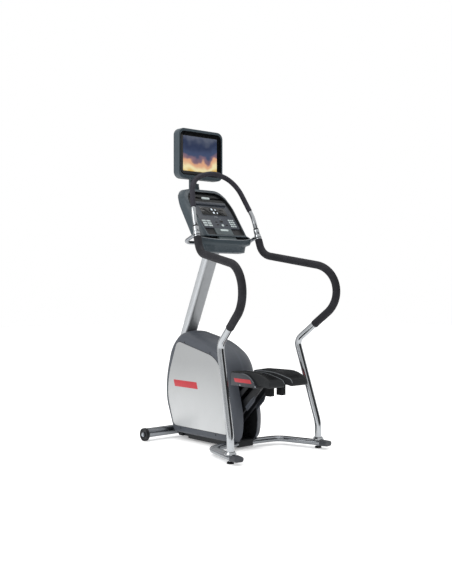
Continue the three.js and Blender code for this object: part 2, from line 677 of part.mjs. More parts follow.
function facePanel() {
  const inset = roundedOutline(FACE_OUTLINE.map(([x, y, r]) => [x * 0.995, y + (y < 50 ? 1 : -1), r]));
  const plate = onConsoleFace(inset, 5, FACE_RECESS - 5 - GAP);
  const window = onConsoleFace(roundedRectangle(101, 41, 4), 20, 0);
  window.translate(...alongFace(DISPLAY_PLACE));
  const start = onConsoleFace(roundedRectangle(42.6, 14.6, 7), 20, 0);
  start.translate(...alongFace(START_KEY_PLACE));
  const stop = onConsoleFace(circle(9.3), 20, 0);
  stop.translate(...alongFace(STOP_KEY_PLACE));
  return cut(plate, window, start, stop);
}

// Moves a face piece by [x, height along the face].
function alongFace([x, height]) {
  return [x, height * Math.sin(CONSOLE_LEAN), height * Math.cos(CONSOLE_LEAN)];
}

const DISPLAY_PLACE = [0, 222];
const START_KEY_PLACE = [0, 62];
const STOP_KEY_PLACE = [6, 92];

function facePiece(shape, place, top, depth) {
  return onConsoleFace(shape, depth, FACE_RECESS - depth - GAP - top).translate(...alongFace(place));
}

function consoleTray() {
  const rear = CONSOLE_FOOT.y - GAP;
  const tub = (halfWidth, front, corner, z0, z1) => {
    const outline = roundedOutline([[-halfWidth, rear, 8], [-halfWidth, front + 30, 24],
      [corner - halfWidth, front, 50], [halfWidth - corner, front, 50], [halfWidth, front + 30, 24],
      [halfWidth, rear, 8]]);
    return new THREE.ExtrudeGeometry(outline, { depth: z1 - z0, bevelEnabled: false, curveSegments: 5 })
      .translate(0, 0, z0);
  };
  const body = join(tub(212, 26, 84, TRAY_STEP_Z, TRAY_TOP_Z), tub(174, 34, 70, TRAY_BOTTOM_Z, TRAY_STEP_Z + 1));
  const bin = (x0, x1) => box(x0, x1, 48, 100, TRAY_BOTTOM_Z + 12, TRAY_TOP_Z + 5);
  return cut(body, bin(-168, -62), bin(62, 168));
}

add('console_shell', consoleShell(), slate());
add('console_tray', consoleTray(), slate());
add('console_face_panel', facePanel(), glossBlack());
add('display_window', facePiece(roundedRectangle(100, 40, 4), DISPLAY_PLACE, 0, 5), glossBlack());
add('start_key', facePiece(roundedRectangle(42, 14, 7), START_KEY_PLACE, 2, 5), silverPanel());
add('stop_key', facePiece(circle(9), STOP_KEY_PLACE, 2, 5), silverPanel());

// ---------------------------------------------------------------- screen
// Upright pieces drawn in (x, z) and extruded away from the user from y0 to y1.
function slabAlongY(shape, y0, y1, z, options = {}) {
  const settings = { depth: y1 - y0, bevelEnabled: false, curveSegments: 5, ...options };
  return new THREE.ExtrudeGeometry(shape, settings).rotateX(Math.PI / 2).translate(0, y1, z);
}

const screenShape = (margin, radius) =>
  roundedRectangle(2 * (SCREEN_HALF_WIDTH - margin), 2 * (SCREEN_HALF_HEIGHT - margin), radius);
const BEZEL_DEPTH = 16;
const SCREEN_FRAME = 24;
const PANEL_THICKNESS = 8;

function screenBezel() {
  const y1 = SCREEN_FRONT_Y + BEZEL_DEPTH;
  const frame = slabAlongY(screenShape(0, 48), SCREEN_FRONT_Y, y1, SCREEN_CENTRE_Z);
  return cut(frame, slabAlongY(screenShape(SCREEN_FRAME, 8), SCREEN_FRONT_Y - 1, y1 + 1, SCREEN_CENTRE_Z));
}

function screenPanel() {
  const y1 = SCREEN_FRONT_Y + BEZEL_DEPTH - 1;
  const shape = screenShape(SCREEN_FRAME + GAP, 8);
  return slabAlongY(shape, y1 - PANEL_THICKNESS, y1, SCREEN_CENTRE_Z);
}

function screenHousing() {
  const y0 = SCREEN_FRONT_Y + BEZEL_DEPTH + GAP;
  const back = slabAlongY(screenShape(0, 48), y0, SCREEN_FRONT_Y + SCREEN_DEPTH, SCREEN_CENTRE_Z);
  const ear = slabAlongX(roundedOutline([
    [SCREEN_FRONT_Y + SCREEN_DEPTH - 4, TILT_AXIS.z - 24, 0], [TILT_AXIS.y + 14, TILT_AXIS.z - 14, 12],
    [TILT_AXIS.y + 14, TILT_AXIS.z + 14, 12], [SCREEN_FRONT_Y + SCREEN_DEPTH - 4, TILT_AXIS.z + 24, 0]]),
  30, 36);
  const pin = discAlongX(4, -31, 31, TILT_AXIS.y, TILT_AXIS.z, 12);
  return join(back, ear, mirrored(ear), pin);
}

function screenPost() {
  const tube = uprightDisc(POST_RADIUS + 4, POST_RADIUS, 0, POST_Y, 1596, 1638);
  const neck = box(-18, 18, TILT_AXIS.y - 8, TILT_AXIS.y + 8, 1600, TILT_AXIS.z);
  const shoulder = box(-18, 18, POST_Y, TILT_AXIS.y, 1600, 1632);
  const barrel = discAlongX(14, -28, 28, TILT_AXIS.y, TILT_AXIS.z);
  const bore = discAlongX(4 + GAP, -40, 40, TILT_AXIS.y, TILT_AXIS.z, 12);
  const plateFront = CONSOLE_THICKNESS + GAP;
  const plate = box(-28, 28, plateFront, plateFront + SPINE_PLATE_THICKNESS, 50, 402);
  plate.rotateX(-CONSOLE_LEAN).translate(0, CONSOLE_FOOT.y, CONSOLE_FOOT.z);
  return cut(join(tube, neck, shoulder, barrel, plate), bore);
}

add('screen_post', screenPost(), slate());
add('screen_rear_housing', screenHousing(), slate());
add('screen_front_bezel', screenBezel(), slate());
add('screen_panel', screenPanel(), glossBlack());

export default part;
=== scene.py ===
"""Stair climber: the looks of its pieces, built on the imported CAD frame.

Lengths are millimetres in the frame's axes (X to the user's right, Y ahead, Z up) and
become metres when a mesh is made.
"""
import math

import bmesh
import bpy
from mathutils import Matrix, Vector


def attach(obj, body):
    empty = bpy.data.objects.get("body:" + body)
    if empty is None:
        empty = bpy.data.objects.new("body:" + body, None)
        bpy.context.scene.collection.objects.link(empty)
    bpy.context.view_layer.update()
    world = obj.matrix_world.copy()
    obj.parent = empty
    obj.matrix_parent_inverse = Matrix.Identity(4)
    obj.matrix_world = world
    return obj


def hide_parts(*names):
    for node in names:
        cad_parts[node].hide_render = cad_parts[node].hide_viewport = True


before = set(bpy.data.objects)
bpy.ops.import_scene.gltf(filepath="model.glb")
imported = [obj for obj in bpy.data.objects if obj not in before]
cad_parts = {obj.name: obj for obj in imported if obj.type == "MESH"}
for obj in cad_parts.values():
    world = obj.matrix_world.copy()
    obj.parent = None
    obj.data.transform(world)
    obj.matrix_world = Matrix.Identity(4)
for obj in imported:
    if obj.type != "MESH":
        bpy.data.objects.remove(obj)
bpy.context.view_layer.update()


MM = 0.001
FINE = 8  # points on a rounded corner
ROUND = 40  # points round a tube
WIDE_ROUND = 56  # round a collar or the front tube
PIN_ROUND = 24  # round a pin or a screw
STUD_ROUND = 20
GAP = 0.3  # hairline between pieces that meet
CREASE = 34  # degrees above which an edge stays sharp
X_AXIS = (1, 0, 0)
UP = (0, 0, 1)
SIDES = ((1, "right"), (-1, "left"))
SLOT_OF = {}  # the CAD material slot that goes with each material


# ---------- materials
def tone(code):
    """A colour from its sRGB hex code."""
    parts = [int(code[i:i + 2], 16) / 255 for i in (0, 2, 4)]
    return [c / 12.92 if c <= 0.04045 else ((c + 0.055) / 1.055) ** 2.4 for c in parts] + [1]


def scaled(colour, factor):
    return [min(1, c * factor) for c in colour[:3]] + [1]


class Paint:
    """A procedural material made step by step on one Principled shader."""

    def __init__(self, name, stretch=(1, 1, 1)):
        self.material = bpy.data.materials.new(name)
        self.material.use_nodes = True
        self.tree = self.material.node_tree
        self.place = self.node("TexCoord", "Object", {})
        self.place = self.node("Mapping", "Vector", {"Vector": self.place, "Scale": stretch})

    def feed(self, node, inputs):
        """Sets or links each of a node's inputs."""
        for name, value in inputs.items():
            if isinstance(value, bpy.types.NodeSocket):
                self.tree.links.new(value, node.inputs[name])
            else:
                node.inputs[name].default_value = value

    def node(self, kind, output, inputs, **settings):
        """One output of a new node."""
        made = self.tree.nodes.new("ShaderNode" + kind)
        for name, value in settings.items():
            setattr(made, name, value)
        self.feed(made, inputs)
        return made.outputs[output]

    def noise(self, scale, detail=3):
        return self.node("TexNoise", "Fac", {"Vector": self.place, "Scale": scale, "Detail": detail})

    def spread(self, value, low, high, start=0.3, end=0.7):
        """The value from start to end as a ramp from low to high."""
        return self.node("MapRange", "Result", {"Value": value, "From Min": start, "From Max": end,
                                                "To Min": low, "To Max": high})

    def mixed(self, factor, first, second):
        """Two colours mixed; the node's colours are its inputs 6 and 7 and its output 2."""
        return self.node("Mix", 2, {0: factor, 6: first, 7: second}, data_type="RGBA")

    def cloudy(self, colour, scale, detail, low, high):
        """Patches of the colour from low to high times as bright."""
        return self.mixed(self.spread(self.noise(scale, detail), 0, 1), scaled(colour, low),
                          scaled(colour, high))

    def painted_shade_along(self, colour, socket, axis, start, end, shade_colour):
        """The colour with painted shade faded in along one axis of a place or of the way a face points."""
        split = self.node("SeparateXYZ", axis, {"Vector": socket})
        return self.mixed(self.spread(split, 0, 1, start, end), colour, shade_colour)

    def bump(self, height, strength, distance=0.0004):
        return self.node("Bump", "Normal", {"Height": height, "Strength": strength, "Distance": distance})

    def finished(self, inputs):
        """The material, with its shader's inputs set or linked."""
        self.feed(self.tree.nodes["Principled BSDF"], inputs)
        return self.material


def surface(name, code, rough, slot=None, metal=0.0, grain=900, bump=0.2, vary=0.1, worn=0.35,
            stretch=(1, 1, 1), shine=0.5, front=1.0, top=1.0):
    """A moulded, painted or plated surface: cloudy colour, uneven gloss, grain, pale worn edges.

    front below 1 paints shade on the faces that look at the user, and top paints shade on the upper parts.
    """
    paint = Paint(name, stretch)
    SLOT_OF[paint.material.name] = slot
    colour = tone(code)
    look = paint.cloudy(colour, 9, 3, 1 - vary, 1 + vary)
    # painted shade: faces that look at the user are darkened
    if front < 1:
        normal = paint.node("NewGeometry", "Normal", {})
        look = paint.painted_shade_along(look, normal, "Y", -0.35, -0.85, scaled(colour, front))
    # painted shade: the upper parts are darkened
    if top < 1:
        look = paint.painted_shade_along(look, paint.place, "Z", 0.1, 0.5, scaled(colour, top))
    edges = paint.spread(paint.node("NewGeometry", "Pointiness", {}), 0, worn, 0.53, 0.62)
    return paint.finished({"Base Color": paint.mixed(edges, look, scaled(colour, 1.9)),
        "Roughness": paint.spread(paint.noise(60, 4), rough * 0.85, rough * 1.15),
        "Normal": paint.bump(paint.noise(grain, 2), bump), "Metallic": metal,
        "Specular IOR Level": shine})


def foam(name, code):
    """Closed-cell grip foam: fine pores over a soft, slightly dusty skin."""
    paint = Paint(name)
    SLOT_OF[paint.material.name] = "rubber"
    pores = paint.node("TexVoronoi", "Distance", {"Vector": paint.place, "Scale": 520})
    return paint.finished({"Base Color": paint.cloudy(tone(code), 14, 5, 0.8, 1.35),
        "Roughness": paint.spread(paint.noise(80), 0.62, 0.82), "Normal": paint.bump(pores, 0.35, 0.0006),
        "Specular IOR Level": 0.2})


def picture():
    """An abstract landscape of soft colour bands, lit from behind."""
    swell = 0.16  # how far the bands wave up and down, in metres
    stops = ((0.0, "b8913c"), (0.16, "cbbf94"), (0.34, "b98a6c"), (0.42, "6a5560"),
             (0.52, "353f58"), (0.78, "262e44"), (1.0, "4a4f5c"))
    paint = Paint("screen_picture")
    level = paint.node("SeparateXYZ", "Z", {"Vector": paint.place})
    wave = paint.node("Math", "Value", {0: paint.noise(9, 2), 1: swell, 2: level},
                      operation="MULTIPLY_ADD")
    low, high = ((SCREEN_Z + s * PICTURE_HALF[1]) * MM + swell / 2 for s in (-1, 1))
    colour = paint.node("ValToRGB", "Color", {"Fac": paint.spread(wave, 0, 1, low, high)})
    bands = colour.node.color_ramp
    bands.interpolation = "EASE"
    while len(bands.elements) < len(stops):
        bands.elements.new(0.5)
    for element, (place, code) in zip(bands.elements, stops):
        element.position = place
        element.color = tone(code)
    return paint.finished({"Base Color": colour, "Emission Color": colour, "Emission Strength": 0.4,
        "Roughness": paint.spread(paint.noise(40), 0.12, 0.2)})


def glow(name, code, strength):
    """A lit segment behind smoked plastic."""
    paint = Paint(name)
    colour = paint.cloudy(tone(code), 120, 3, 0.8, 1)
    return paint.finished({"Base Color": colour, "Emission Color": colour, "Emission Strength": strength,
        "Roughness": paint.spread(paint.noise(60), 0.3, 0.45)})


# ---------- meshes
def make(name, shape, material, body="root", replaces=(), slot=None, crease=CREASE):
    """One named piece from (points, faces) in millimetres, riding on its CAD body."""
    points, faces = shape
    mesh = bpy.data.meshes.new(name)
    mesh.from_pydata([Vector(p) * MM for p in points], [], faces)
    edit = bmesh.new()
    edit.from_mesh(mesh)
    bmesh.ops.remove_doubles(edit, verts=edit.verts, dist=1e-6)
    bmesh.ops.recalc_face_normals(edit, faces=edit.faces)
    edit.to_mesh(mesh)
    edit.free()
    return finish_piece(name, mesh, material, body, replaces, slot, crease)


def instead(node, shape, material, body="root", **looks):
    """A piece that stands in for one CAD node."""
    return make(f"{node}_piece", shape, material, body, [node], **looks)


def placed(name, data):
    """An object in the scene."""
    made = bpy.data.objects.new(name, data)
    bpy.context.scene.collection.objects.link(made)
    return made


def finish_piece(name, mesh, material, body, replaces, slot, crease):
    """A mesh as a piece with its material; the slot it would take, the material's unless one is given, is
    looked up but not given to it.
    """
    piece = placed(name, mesh)
    mesh.materials.clear()
    mesh.materials.append(material)
    mesh.shade_smooth()
    mesh.set_sharp_from_angle(angle=math.radians(crease))
    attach(piece, body)
    slot = slot or SLOT_OF.get(material.name)
    if replaces:
        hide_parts(*replaces)
    return piece


def lofted(rings, ends=True, ring=False):
    """Points and faces of a skin over rings of equal count; ring=True joins last to first."""
    count = len(rings[0])
    points = [p for r in rings for p in r]
    faces = []
    for j in range(len(rings) if ring else len(rings) - 1):
        a, b = j * count, (j + 1) % len(rings) * count
        faces += [(a + i, a + (i + 1) % count, b + (i + 1) % count, b + i) for i in range(count)]
    if ends and not ring:
        last = (len(rings) - 1) * count
        faces.append(tuple(range(count))[::-1])
        faces.append(tuple(range(last, last + count)))
    return points, faces


def together(*shapes):
    """Several (points, faces) as one."""
    points, faces = [], []
    for some_points, some_faces in shapes:
        start = len(points)
        points += some_points
        faces += [tuple(start + i for i in face) for face in some_faces]
    return points, faces


def outline(corners, steps=FINE):
    """A closed outline; each corner is (u, v, reach), where reach is how far its rounding starts."""
    made = []
    for i, (u, v, reach) in enumerate(corners):
        here = Vector((u, v))
        before = Vector(corners[i - 1][:2])
        after = Vector(corners[(i + 1) % len(corners)][:2])
        if reach <= 0:
            made.append(here)
            continue
        start = here + (before - here).normalized() * reach
        end = here + (after - here).normalized() * reach
        for k in range(steps + 1):
            t = k / steps
            made.append(start * (1 - t) ** 2 + here * 2 * t * (1 - t) + end * t * t)
    return made


def tablet(width, height, radius, centre=(0, 0)):
    """A rectangle with circular corners."""
    made = []
    for sx, sy, turn in ((-1, -1, 180), (1, -1, 270), (1, 1, 0), (-1, 1, 90)):
        cx = centre[0] + sx * (width / 2 - radius)
        cy = centre[1] + sy * (height / 2 - radius)
        for k in range(FINE + 1):
            angle = math.radians(turn + 90 * k / FINE)
            made.append(Vector((cx + radius * math.cos(angle), cy + radius * math.sin(angle))))
    return made


def round_outline(radius, centre=(0, 0), count=ROUND):
    steps = [2 * math.pi * k / count for k in range(count)]
    return [Vector((centre[0] + radius * math.cos(a), centre[1] + radius * math.sin(a))) for a in steps]


def drawn_in(points, distance):
    """The outline moved inwards by distance."""
    if abs(distance) < 1e-9:
        return list(points)
    area = sum(p.x * q.y - q.x * p.y for p, q in zip(points, points[1:] + points[:1]))
    turn = 1 if area > 0 else -1
    made = []
    for i, here in enumerate(points):
        first = here - points[i - 1]
        second = points[(i + 1) % len(points)] - here
        if first.length < 1e-6:
            first = second
        if second.length < 1e-6:
            second = first
        n1 = Vector((-first.y, first.x)).normalized() * turn
        n2 = Vector((-second.y, second.x)).normalized() * turn
        middle = (n1 + n2).normalized()
        made.append(here + middle * (distance / max(0.35, middle.dot(n1))))
    return made


def slab(points, profile, place):
    """A block from one outline: profile is (depth, inset) from front to back."""
    return lofted([[place(p.x, p.y, depth) for p in drawn_in(points, inset)] for depth, inset in profile])


def softened(start, end, edge, steps=3):
    """The profile of a slab from start to end whose edges are rounded by edge."""
    sign = 1 if end > start else -1
    angles = [math.pi / 2 * k / steps for k in range(steps + 1)]
    near = [(start + sign * edge * (1 - math.cos(a)), edge * (1 - math.sin(a))) for a in angles]
    far = [(end - sign * edge * (1 - math.cos(a)), edge * (1 - math.sin(a))) for a in angles]
    return near + far[::-1]


def sideways(y, z, depth):
    """(y, z) outlines with their depth along X."""
    return Vector((depth, y, z))


def ahead(x, z, depth):
    """(x, z) outlines with their depth along Y."""
    return Vector((x, depth, z))


def upright(x, y, z):
    return Vector((x, y, z))


def side_plate(points, sign, near, far, edge, steps=3):
    """A slab of a (y, z) outline between two distances outwards on one side."""
    return slab(points, softened(near * sign, far * sign, edge, steps), sideways)


def lathe(profile, centre, axis, sides=ROUND):
    """A turned shape: profile is (radius, height along axis)."""
    along = Vector(axis).normalized()
    across = along.orthogonal().normalized()
    other = along.cross(across)
    rings = []
    for radius, height in profile:
        middle = Vector(centre) + along * height
        rings.append([middle + (across * math.cos(a) + other * math.sin(a)) * radius
                      for a in (2 * math.pi * k / sides for k in range(sides))])
    return rings


def turned(profile, centre, axis, sides=ROUND):
    """A lathe shape closed at its ends, or on itself when its profile returns to its start."""
    if profile[0] == profile[-1]:
        return lofted(lathe(profile[:-1], centre, axis, sides), ring=True)
    return lofted(lathe(profile, centre, axis, sides))


def axle(profile, sign, x, place, sides=ROUND):
    """A turned shape along X that starts at x on one side, round a (y, z) place."""
    return turned(profile, (x * sign, *place), (sign, 0, 0), sides)


def bent(corners, degrees=5):
    """A tube's centre line: straight runs joined by arcs. Corners are (x, y, z, bend radius)."""
    points = [Vector(c[:3]) for c in corners]
    made = [points[0]]
    for i in range(1, len(points) - 1):
        back = (points[i - 1] - points[i]).normalized()
        ahead = (points[i + 1] - points[i]).normalized()
        half = back.angle(ahead) / 2
        radius = corners[i][3]
        centre = points[i] + (back + ahead).normalized() * (radius / math.sin(half))
        start = points[i] + back * (radius / math.tan(half)) - centre
        end = points[i] + ahead * (radius / math.tan(half)) - centre
        turn = math.pi - 2 * half
        steps = max(1, math.ceil(math.degrees(turn) / degrees))
        for k in range(steps + 1):
            t = k / steps
            spoke = start * math.sin((1 - t) * turn) + end * math.sin(t * turn)
            made.append(centre + spoke / math.sin(turn))
    made.append(points[-1])
    return made


def frames(line, up=None):
    """A pair of cross axes at each point of line, without twist, or held level by up."""
    made = []
    across = None
    for i, here in enumerate(line):
        tangent = (line[min(i + 1, len(line) - 1)] - line[max(i - 1, 0)]).normalized()
        if up is not None:
            across = tangent.cross(Vector(up)).normalized()
        elif across is None:
            across = tangent.orthogonal().normalized()
        else:
            across = (across - tangent * across.dot(tangent)).normalized()
        made.append((here, tangent, across, tangent.cross(across)))
    return made


def swept(line, section, rounding=0.0, up=None, size=None):
    """A section of (a, b) points along line; rounding softens both ends."""
    rings = []
    along = frames(line, up)
    widest = max(max(abs(a), abs(b)) for a, b in section)

    def ring(place, scale):
        here, _, across, other = place
        return [here + across * (a * scale) + other * (b * scale) for a, b in section]

    for i, place in enumerate(along):
        grow = size(i / (len(along) - 1)) if size else 1
        if rounding and i in (0, len(along) - 1):
            inward = place[1] * (1 if i == 0 else -1)
            arcs = [math.pi / 2 * k / 5 for k in range(6)]
            soft = []
            for a in arcs:
                middle = place[0] + inward * rounding * (1 - math.cos(a))
                scale = (1 - rounding * (1 - math.sin(a)) / widest) * grow
                soft.append(ring((middle,) + place[1:], scale))
            rings += soft if i == 0 else soft[::-1]
        else:
            rings.append(ring(place, grow))
    return lofted(rings)


def carved(name, shape, tools, material, body="root", replaces=(), crease=CREASE):
    """A piece whose shape has the tools' shapes cut away."""
    target = make(name + "_raw", shape, material, body)
    cutters = []
    for i, tool in enumerate(tools):
        cutter = make(f"{name}_cutter_{i}", tool, material, body)
        cut = target.modifiers.new("cut", "BOOLEAN")
        cut.object = cutter
        cut.solver = "EXACT"
        cutters.append(cutter)
    bpy.context.view_layer.update()
    mesh = bpy.data.meshes.new_from_object(target.evaluated_get(bpy.context.evaluated_depsgraph_get()))
    for spare in [target, *cutters]:
        bpy.data.objects.remove(spare)
    if not mesh.polygons:
        raise ValueError(f"{name}: nothing is left after the cuts")
    return finish_piece(name, mesh, material, body, replaces, None, crease)


def block(x0, x1, y0, y1, z0, z1, edge=0.0):
    """A box, with its edges softened by edge."""
    if edge:
        points = tablet(x1 - x0, y1 - y0, edge * 1.2, ((x0 + x1) / 2, (y0 + y1) / 2))
        return slab(points, softened(z0, z1, edge), upright)
    return slab([Vector(p) for p in ((x0, y0), (x1, y0), (x1, y1), (x0, y1))],
                [(z0, 0), (z1, 0)], upright)


def side_block(sign, near, far, *rest):
    """A block between two distances outwards on one side."""
    return block(*sorted((near * sign, far * sign)), *rest)


def screw(place, axis, radius, height):
    """A button-head screw standing on place, with a hexagon recess."""
    profile = [(radius, 0), (radius * 0.98, height * 0.45), (radius * 0.8, height * 0.85),
               (radius * 0.52, height)]
    head = turned(profile, place, axis, PIN_ROUND)
    along = Vector(axis).normalized()
    top = Vector(place) + along * height
    socket = turned([(radius * 0.5, 0.02), (radius * 0.42, 0.25), (radius * 0.2, 0.02)], top, axis, 6)
    return together(head, socket)


def hex_nut(place, axis, radius, height):
    """A nut with chamfered corners."""
    profile = [(radius * 0.9, 0), (radius, height * 0.15), (radius, height * 0.85),
               (radius * 0.88, height)]
    return turned(profile, place, axis, 6)


def mirror_x(shape, sign):
    """The shape as it is for sign 1, and its mirror image for -1."""
    points, faces = shape
    return [Vector((p[0] * sign, p[1], p[2])) for p in points], faces


# ---------- driving sizes
FOOT = (355, -384)  # x, y of an upright and its levelling foot
BASE_Z = 34  # middle of the rear base arc
FRONT_Z = 49  # middle of the front tube
WHEEL = (491, 41)  # y, z
WHEEL_INNER_X = 295
WHEEL_OUTER_X = 320
MAST_HEAD = Vector((0, 111, 1274))  # where the console's lean starts
SHROUD_HALF = 120  # from the middle to a side face
SHROUD_INSET = 38  # how far the skin has drawn in by then
PEDAL_TOP = 487
PEDAL_PIVOT = (-284, 395)  # y, z
ARM_PIVOT = (11, 125)
LINK_OFFSET = (52, 30)  # from an arm's pivots to its link's
STEP_UP = (140, 365)  # y, z of the shaft that the clutches sit on
SCREEN_Z = 1818
SCREEN_FRONT = 301
SCREEN_HINGE = (392, 1800)
SCREEN_HALF = (181, 158)
OPENING_HALF = (169, 138)
PICTURE_HALF = (139, 116)
PICTURE_LIFT = 3  # how far the opening sits above the case's middle
RIM_LEAN = math.radians(29.3)  # the console's widest line leans back by this
DECK_LEAN = math.radians(39.2)  # its face leans back further
DECK_FOOT = (30, 1264)  # y, z of the face's lower front edge

chrome = surface("chrome", "a3a6a9", 0.13, "chrome", metal=1, grain=1500, bump=0.006, vary=0.02, worn=0)
bright = surface("bright_tube", "85888c", 0.22, "satin_silver", metal=1, grain=1400,
                 bump=0.01, vary=0.03, worn=0)
# satin silver: front=0.5 paints shade on its faces that look at the user
satin = surface("satin_silver", "b2b5b8", 0.36, "satin_silver", metal=0.75, grain=700,
                bump=0.1, vary=0.05, worn=0.2, stretch=(1, 1, 0.12), front=0.5)
steel = surface("zinc_steel", "9a9ea3", 0.36, "steel", metal=0.95, grain=600, bump=0.15)
charcoal = surface("charcoal_plastic", "3e4249", 0.46, "charcoal_plastic", grain=1100,
                   bump=0.22, vary=0.06, shine=0.35)
slate = surface("slate_plastic", "2f393f", 0.44, "slate_plastic", grain=1100, bump=0.22,
                vary=0.07, shine=0.35)
black = surface("black_plastic", "121416", 0.5, "black_plastic", bump=0.3, vary=0.12, shine=0.25)
tread = surface("pedal_tread", "1c1e20", 0.62, "black_plastic", grain=420, bump=0.6, vary=0.15, shine=0.2)
glossy = surface("gloss_black", "060708", 0.16, "gloss_black", grain=1500, bump=0.02, shine=0.3)
paint_dark = surface("dark_paint", "17191c", 0.42, "dark_paint", metal=0.2, grain=500,
                     bump=0.25, shine=0.3)
rubber = surface("rubber", "141517", 0.8, "rubber", grain=700, bump=0.4, vary=0.15, worn=0.2, shine=0.15)
# silver panel: top=0.66 paints shade over its upper part
silver = surface("silver_panel", "b4b6b7", 0.4, "silver_panel", metal=0.25, grain=1300,
                 bump=0.06, vary=0.025, top=0.66)
keys = surface("light_keys", "a9b3b3", 0.45, "light_keys", grain=1300, bump=0.1, vary=0.05)
# pale grey: a painted highlight on rims, and the colour of the pale keys
pale_key_and_rim_highlight = surface("pale_key_and_rim_highlight", "6d7276", 0.5, grain=1300, bump=0.1, vary=0.05)
red = surface("red_print", "a5202a", 0.4, grain=1300, bump=0.08, vary=0.06, worn=0)
face_plastic = surface("console_face_plastic", "30353d", 0.4, "slate_plastic", grain=1100,
                       bump=0.15, vary=0.08, shine=0.35)
ramp_paint = surface("ramp_texture", "3b4548", 0.6, "slate_plastic", grain=240, bump=0.8, vary=0.22)
grip_foam = foam("grip_foam", "1b1b1f")
arch_foam = foam("arch_foam", "25242b")
cover_plastic = surface("link_cover_plastic", "303237", 0.46, "charcoal_plastic",
                        grain=1100, bump=0.22, shine=0.35)
belt = surface("belt_rubber", "151618", 0.7, grain=800, bump=0.4)
lit = glow("lit_digits", "c9d4dc", 0.5)


# ---------- base
BASE_END = Vector((362, -463, BASE_Z))
BASE_KNEE = Vector((350, -384, BASE_Z))
BASE_TUBE = (58, 32)  # width and height of its flat oval
CAP_LENGTH = 46
PAD_HEIGHT = 12  # of a levelling foot
COLLAR = [(21, 50.5), (35, 50.5), (35, 53), (33.5, 55.5), (28.4, 63.5), (26.5, 66), (21, 66),
          (21, 50.5)]
TYRE = [(7, 2), (17, 2), (18, 0.5), (34, 0.5), (37, 0), (40, 1.5), (41, 5), (41, 10.5),
        (40.2, 11.2), (40.2, 13.8), (41, 14.5), (41, 20), (40, 23.5), (37, 25), (34, 24.4),
        (32, 21), (17, 20), (15, 24.4), (7, 24.4), (7, 2)]


def oval(width, height):
    """A flat oval as (across, up) points."""
    return tablet(width, height, height / 2 - 0.01)


def both_halves(half, *middle):
    """The corners of a line with a mirror image: one half, what lies between, the other half."""
    return [*half, *middle, *((-c[0], *c[1:]) for c in reversed(half))]


def base():
    leg = (BASE_END - BASE_KNEE).normalized()
    tube_end = BASE_END - leg * (CAP_LENGTH + GAP)
    half = [tuple(tube_end), (*BASE_KNEE, 150), (272, -126, BASE_Z, 90)]
    line = bent(both_halves(half, (0, -79, BASE_Z, 900)), 2.5)
    make("rear_base_tube", swept(line, oval(*BASE_TUBE), up=UP), bright, replaces=["rear_base_arc"])
    # the welded joint cover where the arc meets the machine's spine
    cover = slab(tablet(132, 80, 14, (0, -84)), softened(13, 58, 5), upright)
    make("base_joint_cover", cover, black)
    for sign, side in SIDES:
        end_cap(sign, side, leg)
        leveling_foot(sign, side)
        collar = turned(COLLAR, (FOOT[0] * sign, FOOT[1], 0), UP, WIDE_ROUND)
        instead(f"upright_collar_{side}", collar, chrome)


def end_cap(sign, side, leg):
    """A tapering cap with a lip round its mouth."""
    start = BASE_END - leg * CAP_LENGTH
    cap = swept([start, start.lerp(BASE_END, 0.5), BASE_END], oval(66, 32), up=UP,
                size=lambda t: 1 - 0.06 * t ** 3)
    lip = swept([start - leg * 1.5, start + leg * 3], oval(67, 33), up=UP)
    instead(f"rear_end_cap_{side}", mirror_x(together(cap, lip), sign), cover_plastic, crease=50)


def leveling_foot(sign, side):
    """A rubber pad, and the stud above it with its lock nut."""
    x, y = FOOT[0] * sign, FOOT[1]
    pad = [(19, 0), (21, 1.5), (21, 5), (17.5, 11), (9, PAD_HEIGHT), (9, PAD_HEIGHT + 0.5)]
    instead(f"leveling_foot_{side}", turned(pad, (x, y, 0), UP), rubber)
    stem = turned([(6, PAD_HEIGHT), (6, PAD_HEIGHT + 6)], (x, y, 0), UP, STUD_ROUND)
    nut = hex_nut((x, y, PAD_HEIGHT), UP, 10, 4.5)
    make(f"leveling_stud_{side}", together(stem, nut), steel)


def front_end():
    end = WHEEL_INNER_X - 2
    middle = (WHEEL[0], FRONT_Z)
    mouth = [(26, 0), (29, 0.6), (30, 2)]
    tube = mouth + [(radius, 2 * end - x) for radius, x in reversed(mouth)]
    make("front_tube", axle(tube, 1, -end, middle, WIDE_ROUND), bright, replaces=["front_stabilizer_tube"])
    make("front_joint_cover", slab(tablet(104, 50, 8, (0, 36)), softened(430, 474, 4), ahead), black)
    for sign, side in SIDES:
        instead(f"transport_wheel_{side}", axle(TYRE, sign, WHEEL_INNER_X, WHEEL, 64), black,
                f"{side}_wheel")
        end_plate = [(29, 0), (30.5, 0.4), (30.5, 1.6), (10, 1.7)]
        make(f"stabilizer_end_{side}", axle(end_plate, sign, end - 0.4, middle, WIDE_ROUND), charcoal)
        washer = axle([(6, 0), (13, 0), (13, 1.6), (6, 1.8)], sign, WHEEL_OUTER_X + GAP, WHEEL, 32)
        shank = axle([(6, 0), (6, WHEEL_OUTER_X - end)], sign, end + 0.5, WHEEL, STUD_ROUND)
        head = side_plate(tablet(17, 17, 2, WHEEL), sign, WHEEL_OUTER_X + 1.8, WHEEL_OUTER_X + 7, 1)
        instead(f"wheel_bolt_{side}", together(washer, shank, head), steel)


# ---------- handrails and arch
# corners are (x, y, z, bend radius)
RAIL = [(*FOOT, 50.3), (*FOOT, 150, 300), (312, -246, 649, 61), (431, -715, 1049, 163),
        (255, 4, 1179, 97), (243, 77, 1416, 300)]
ARCH = [(243, 77, 1416, 300), (178, 180, 1650, 165), (0, 180, 1691, 230)]
GRIP_LOW_Z = 747
GRIP_TOP_Z = 1279
RAIL_TOP_Z = 1305
SENSOR_RING_Z = (1338.5, 1346)
ARCH_GRIP_Z = 1457


